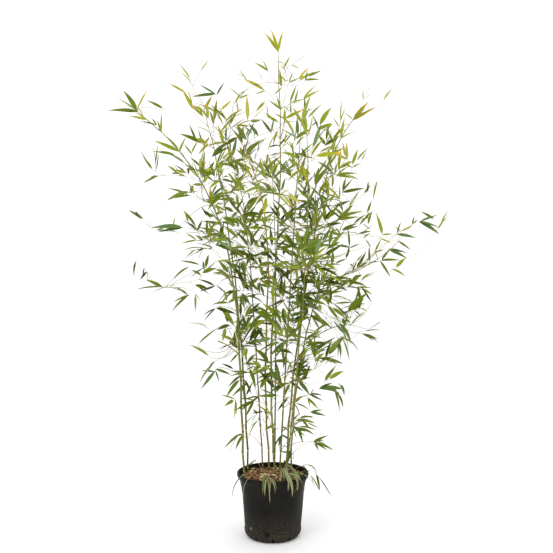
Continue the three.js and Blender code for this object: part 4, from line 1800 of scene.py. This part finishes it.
@dataclass
class MulchBed:
    """Bark mulch: an uneven bed with chips of many browns strewn over it."""

    pot: Pot
    level: float = 0.191
    gap: float = 0.0004
    roughness: float = 0.0024
    waves: int = 14
    wave_count: Pair = (90, 420)
    mound: float = 0.007
    sides: int = 120
    chips: int = 620
    chip_length: Pair = (0.008, 0.034)
    chip_width: Pair = (0.25, 0.6)
    chip_depth: Pair = (0.1, 0.26)
    chip_tilt: float = 0.22
    chip_unevenness: Pair = (0.72, 1.12)
    chip_sides: int = 6
    chip_stations: int = 5
    stalks: int = 70
    stalk_length: Pair = (0.014, 0.05)
    stalk_radius: Pair = (0.0005, 0.0011)
    stalk_spread: float = 0.086
    stalk_steps: int = 6
    standing: float = 0.2
    seed: int = 21

    def relief(self, x: Array, y: Array) -> Array:
        """Height of the bed's top: a low mound towards the middle under seeded lumps."""
        radius = np.hypot(x, y)
        reach = float(self.pot.body_radius(self.level)) - self.pot.wall
        rng = np.random.default_rng(self.seed)
        lumps = np.zeros(np.shape(x))
        for _ in range(self.waves):
            way, phase = rng.uniform(0, TURN), rng.uniform(0, TURN)
            wave = rng.uniform(*self.wave_count)
            lumps = lumps + np.cos(wave * (x * math.cos(way) + y * math.sin(way)) + phase)
        mound = self.mound * (1 - (radius / reach) ** 2)
        return self.level + mound + self.roughness * lumps / 3.7

    def build(self) -> Any:
        """Makes bed and chips as one piece.

        Returns:
            The mulch's object.
        """
        surface = Surface()
        surface.add_tubes(self._bed()[None])
        rng = np.random.default_rng(self.seed + 1)
        surface.add_tubes(self._chips(rng), slots=self._browns(rng, self.chips))
        surface.add_tubes(self._stalks(rng), slots=self._browns(rng, self.stalks))
        piece = surface.build("mulch", [finish.material() for finish in BARK_FINISHES])
        settle(piece, ["soil"])
        return piece

    def _bed(self) -> Array:
        """Rings of the bed: up the pot's inner wall, then in over the top."""
        clear = self.pot.wall + self.gap
        foot = self.pot.floor + self.gap
        wall_z = np.linspace(self.pot.heel_height, self.level - 0.004, 6)
        wall_r = self.pot.body_radius(wall_z) - clear - self.pot.dent
        top_r = np.linspace(wall_r[-1], 0.003, 34)
        radius = np.concatenate([[0.01, self.pot.foot_radius - clear], wall_r, top_r])
        angle = np.linspace(0, TURN, self.sides, endpoint=False)
        x, y = radius[:, None] * np.cos(angle), radius[:, None] * np.sin(angle)
        low = np.concatenate([[foot, foot], wall_z])[:, None] * np.ones(self.sides)
        top = self.relief(x[-len(top_r) :], y[-len(top_r) :])
        return np.stack([x, y, np.concatenate([low, top])], -1)

    def _chips(self, rng: Any) -> Array:
        """Ragged slabs of bark lying about on the bed, shape (chips, stations, sides, 3)."""
        n, s, a = self.chips, self.chip_stations, self.chip_sides
        edge = float(self.pot.body_radius(self.level)) - self.pot.wall
        length = rng.uniform(*self.chip_length, n) * rng.uniform(0.6, 1, n)
        radius = (edge - 0.4 * length - 0.003) * np.sqrt(rng.uniform(size=n))
        angle = rng.uniform(0, TURN, n)
        x, y = radius * np.cos(angle), radius * np.sin(angle)
        turn, tilt = rng.uniform(0, TURN, n), rng.normal(0, self.chip_tilt, n)
        along = np.stack(
            [np.cos(turn) * np.cos(tilt), np.sin(turn) * np.cos(tilt), np.sin(tilt)], -1
        )
        side = square_to(along, np.cross(UP, along) + 0.25 * rng.normal(size=(n, 3)))
        above = np.cross(along, side)
        width = length * rng.uniform(*self.chip_width, n)
        depth = length * rng.uniform(*self.chip_depth, n)
        share = np.linspace(-0.5, 0.5, s)
        taper = (1 - (2 * np.abs(share)) ** 3 * 0.45)[None, :, None]
        ragged = rng.uniform(*self.chip_unevenness, (n, s, a))
        corner = TURN * np.arange(a) / a
        across = width[:, None, None] / 2 * np.cos(corner) * taper * ragged
        up = depth[:, None, None] / 2 * np.sin(corner) * taper * ragged
        arch = depth[:, None] * 0.3 * (1 - (2 * share) ** 2)
        shift = length[:, None] * share + 0.06 * length[:, None] * rng.normal(size=(n, s))
        shift = np.sort(shift, axis=1)
        z = self.relief(x, y) + rng.uniform(0.0002, 0.0035, n) + depth * 0.25
        middle = np.stack([x, y, z], -1)[:, None] + shift[..., None] * along[:, None]
        middle = middle + arch[..., None] * above[:, None]
        return (
            middle[:, :, None]
            + across[..., None] * side[:, None, None]
            + up[..., None] * above[:, None, None]
        )

    def _stalks(self, rng: Any) -> Array:
        """Dry stalks strewn over the chips, a few of them standing, shape (stalks, steps, 4, 3)."""
        n = self.stalks
        length = rng.uniform(*self.stalk_length, n)
        radius = self.stalk_spread * np.sqrt(rng.uniform(size=n))
        angle, turn = rng.uniform(0, TURN, (2, n))
        x, y = radius * np.cos(angle), radius * np.sin(angle)
        tilt = np.where(rng.uniform(size=n) < self.standing, rng.uniform(0.4, 1.2, n), 0.05)
        way = np.stack([np.cos(turn) * np.cos(tilt), np.sin(turn) * np.cos(tilt), np.sin(tilt)], -1)
        far = np.hypot(x + length * way[:, 0], y + length * way[:, 1])
        length = np.where(far > 0.1, 0.012, length)
        start = np.stack([x, y, self.relief(x, y) + 0.003], -1)
        end = start + length[:, None] * way
        sag = 0.12 * length[:, None] * rng.normal(size=(n, 3)) * np.array([1, 1, 0.2])
        third = (end - start) / 3
        lines = bezier(start, start + third + sag, end - third + sag, end, self.stalk_steps)
        radii = rng.uniform(*self.stalk_radius, (n, 1)) * np.linspace(1, 0.7, self.stalk_steps)
        return tube_grid(lines, radii, 4)

    def _browns(self, rng: Any, count: int) -> Array:
        """A brown for each of so many pieces."""
        shares = [0.0, 0.31, 0.28, 0.14, 0.16, 0.11]
        return rng.choice(len(shares), count, p=shares)[:, None, None]


# ---- Low sprigs and leaves over the rim ----


class Sway(Enum):
    """How a low sprig holds its leaves: droop, range of width against length, range of length."""

    FRESH = (0.3, (0.125, 0.17), (0.05, 0.08))
    WILTED = (1.7, (0.075, 0.115), (0.055, 0.095))


@dataclass(frozen=True)
class Sprig:
    """One low shoot: where it starts, the point it arches over and where its leaves begin."""

    start: Triple
    over: Triple
    end: Triple
    kind: LeafKind
    leaves: int = 4
    sway: Sway = Sway.FRESH
    fall: float = 0.3


def wilted(
    x: float, y: float, kind: LeafKind, leaves: int, back: float = 0.8, climb: float = 0.012
) -> Sprig:
    """A wilted shoot from the mulch whose leaves begin a share of the way back from the rim."""
    start = (0.5 * x, 0.5 * y, 0.194)
    over = (0.75 * back * x, 0.75 * back * y, 0.212 + 1.3 * climb)
    end = (back * x, back * y, 0.212 + climb)
    return Sprig(start, over, end, kind, leaves, Sway.WILTED)


SPRIGS = (
    wilted(-0.018, -0.118, PALE, 3, 0.93, 0.008),
    wilted(-0.028, -0.116, BLUISH, 2, 0.84, 0.016),
    wilted(-0.006, -0.12, WITHERED, 2, 0.95, 0.006),
    wilted(0.042, -0.112, PALE, 4, 0.76, 0.028),
    wilted(0.052, -0.108, PALE, 3, 0.92, 0.014),
    wilted(0.062, -0.102, PALE, 4, 0.7, 0.036),
    wilted(0.07, -0.098, WITHERED, 2, 0.93, 0.008),
    wilted(0.09, -0.08, PALE, 3, 0.88, 0.016),
    wilted(0.08, -0.09, BLUISH, 2, 0.8, 0.024),
    wilted(-0.076, -0.092, PALE, 1, 0.94, 0.006),
    wilted(-0.1, -0.066, BLUISH, 2, 0.93, 0.006),
    wilted(-0.07, 0.094, PALE, 3, 0.92, 0.01),
    wilted(0.05, 0.106, BLUISH, 3, 0.92, 0.01),
    wilted(0.118, 0.03, PALE, 3, 0.92, 0.01),
    Sprig((0.08, 0.0, 0.2), (0.118, -0.02, 0.225), (0.13, -0.03, 0.196), BLUISH, 4),
    Sprig((0.08, 0.01, 0.2), (0.13, -0.01, 0.23), (0.15, -0.02, 0.2), DEEP, 2, fall=0),
    Sprig((0.062, 0.05, 0.25), (0.11, 0.03, 0.31), (0.15, 0.01, 0.305), MIDDLE, 4),
    Sprig((-0.084, 0.04, 0.3), (-0.1, 0.01, 0.34), (-0.112, -0.01, 0.335), MIDDLE, 3),
    Sprig((-0.01, 0.06, 0.33), (-0.03, 0.0, 0.4), (-0.05, -0.03, 0.385), FRESH, 3),
    Sprig((-0.03, 0.07, 0.36), (-0.05, 0.05, 0.45), (-0.07, 0.03, 0.44), MIDDLE, 4),
    Sprig((0.01, 0.02, 0.3), (0.0, -0.03, 0.4), (-0.01, -0.05, 0.41), FRESH, 4),
    Sprig((0.02, 0.03, 0.27), (0.03, -0.03, 0.35), (0.03, -0.05, 0.34), DEEP, 3),
    Sprig((0.05, 0.08, 0.28), (0.07, 0.04, 0.36), (0.09, 0.03, 0.35), MIDDLE, 4),
    Sprig((0.07, 0.04, 0.24), (0.07, 0.0, 0.29), (0.06, -0.02, 0.285), DEEP, 3),
    Sprig((-0.09, 0.03, 0.4), (-0.11, 0.0, 0.46), (-0.13, -0.02, 0.45), FRESH, 4),
    Sprig((-0.03, 0.09, 0.3), (-0.05, 0.13, 0.38), (-0.06, 0.15, 0.37), MIDDLE, 4),
    Sprig((0.05, 0.09, 0.34), (0.06, 0.13, 0.42), (0.08, 0.15, 0.41), MIDDLE, 4),
)


@dataclass
class LowSprigs:
    """Low shoots that stand by the canes' feet or hang over the pot's rim."""

    crown: Crown
    steps: int = 16
    leafy_steps: int = 4
    thickness: Pair = (0.9 * MM, 0.4 * MM)
    seed: int = 31

    def build(self) -> None:
        """Grows every sprig into the crown's lowest storey."""
        growth = self.crown.growths[Storey.FOOT]
        for number, sprig in enumerate(SPRIGS):
            self._grow(growth, sprig, np.random.default_rng([self.seed, number]))

    def _grow(self, growth: Growth, sprig: Sprig, rng: Any) -> None:
        """Grows one sprig: a thin stem and a spray at its end."""
        start, over, end = (np.array(point)[None] for point in (sprig.start, sprig.over, sprig.end))
        line = bezier(start, (start + 2 * over) / 3, (2 * over + end) / 3, end, self.steps)[0]
        growth.branchlets.append(line)
        growth.branchlet_radii.append(np.linspace(*self.thickness, self.steps))
        growth.bark.append(int(rng.integers(3)))
        droop, slender, blade = sprig.sway.value
        habit = replace(
            growth.habit, kinds={sprig.kind: 1.0}, blade=blade,
            rise=-sprig.fall, slender=slender, droop=droop,
        )
        leafy, count = line[None, -self.leafy_steps :], np.array([sprig.leaves])
        room = plant_room(self.crown.margin)
        spray(growth.leaves, habit, leafy, count, room, self.crown.side_spray, rng)


# ---- Studio ----


@dataclass
class Studio:
    """Pale floor, white surroundings, soft lights and the camera level with the crown."""

    camera_distance: float = 2.296
    camera_shift_right: float = 0.0124
    camera_height: float = 0.863
    lens: float = 44.6
    sensor_width: float = 36.0
    aim_height: float = 0.8
    floor_size: float = 60.0
    sky: float = 1.13

    def build(self) -> None:
        """Makes floor, world, lights and camera."""
        half = self.floor_size / 2
        corners = [(-half, -half, 0), (half, -half, 0), (half, half, 0), (-half, half, 0)]
        mesh = bpy.data.meshes.new("floor")
        mesh.from_pydata(corners, [], [(0, 1, 2, 3)])
        mesh.materials.append(FloorFinish().material())
        floor = put("floor", mesh)
        lights = [
            self._light("key", (-1.8, -2.4, 3.2), 34.0, 1.6),
            self._light("fill", (2.4, -2.0, 1.6), 12.0, 2.0),
            self._light("back", (0.8, 2.6, 2.8), 16.0, 1.8),
        ]
        world = bpy.data.worlds.new("studio")
        world.use_nodes = True
        background = world.node_tree.nodes["Background"]
        background.inputs["Color"].default_value = (1, 1, 1, 1)
        background.inputs["Strength"].default_value = self.sky
        bpy.context.scene.world = world
        bpy.context.scene.view_settings.view_transform = "Standard"
        self._camera()

    def _light(self, name: str, place: Triple, power: float, size: float) -> Any:
        """A square soft light that shines at the crown's middle."""
        data = bpy.data.lights.new(name, "AREA")
        data.energy = power
        data.size = size
        light = put(name, data)
        light.location = place
        aim = Vector((0, 0, self.aim_height)) - Vector(place)
        light.rotation_euler = aim.to_track_quat("-Z", "Y").to_euler()
        return light

    def _camera(self) -> None:
        """The camera, level, facing the front of the plant."""
        data = bpy.data.cameras.new("camera")
        data.lens = self.lens
        data.sensor_width = self.sensor_width
        camera = put("camera", data)
        camera.location = (self.camera_shift_right, -self.camera_distance, self.camera_height)
        camera.rotation_euler = (math.pi / 2, 0, 0)
        bpy.context.scene.camera = camera


# ---- Plant ----


@dataclass
class Bamboo:
    """The potted plant."""

    lowest_bud: float = 0.25
    tip_steps: int = 6

    def build(self) -> None:
        """Builds pot, mulch, canes, boughs, crown and low sprigs."""
        pot = Pot()
        pot.build()
        MulchBed(pot).build()
        special = {
            "cane_golden": CaneKind.GOLDEN,
            "cane_rear_thin": CaneKind.RUSSET,
            "cane_west_tall": CaneKind.GREEN,
            "cane_rear": CaneKind.GREEN,
        }
        buds, tips = [], []
        names = sorted(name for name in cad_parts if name.startswith("cane_"))
        for number, name in enumerate(names):
            kind = special.get(name, CaneKind.OLIVE)
            slot = "golden_cane" if kind is CaneKind.GOLDEN else "cane"
            cane = Cane(name, kind, slot, number)
            cane.build()
            buds.append(cane.buds(self.lowest_bud))
            tips.append(cane.tip(self.tip_steps))
        for name in sorted(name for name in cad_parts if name.startswith("bough_")):
            bough = Bough(name)
            bough.build()
            buds.append(bough.buds())
        crown = Crown(*(np.concatenate(parts) for parts in zip(*buds)))
        crown.build()
        crown.crown_canes(np.stack(tips))
        LowSprigs(crown).build()
        crown.make()


def main() -> None:
    """Builds the looks and the studio."""
    logging.basicConfig(level=logging.INFO, format="%(name)s %(message)s")
    Bamboo().build()
    Studio().build()


if __name__ == "__main__":
    main()
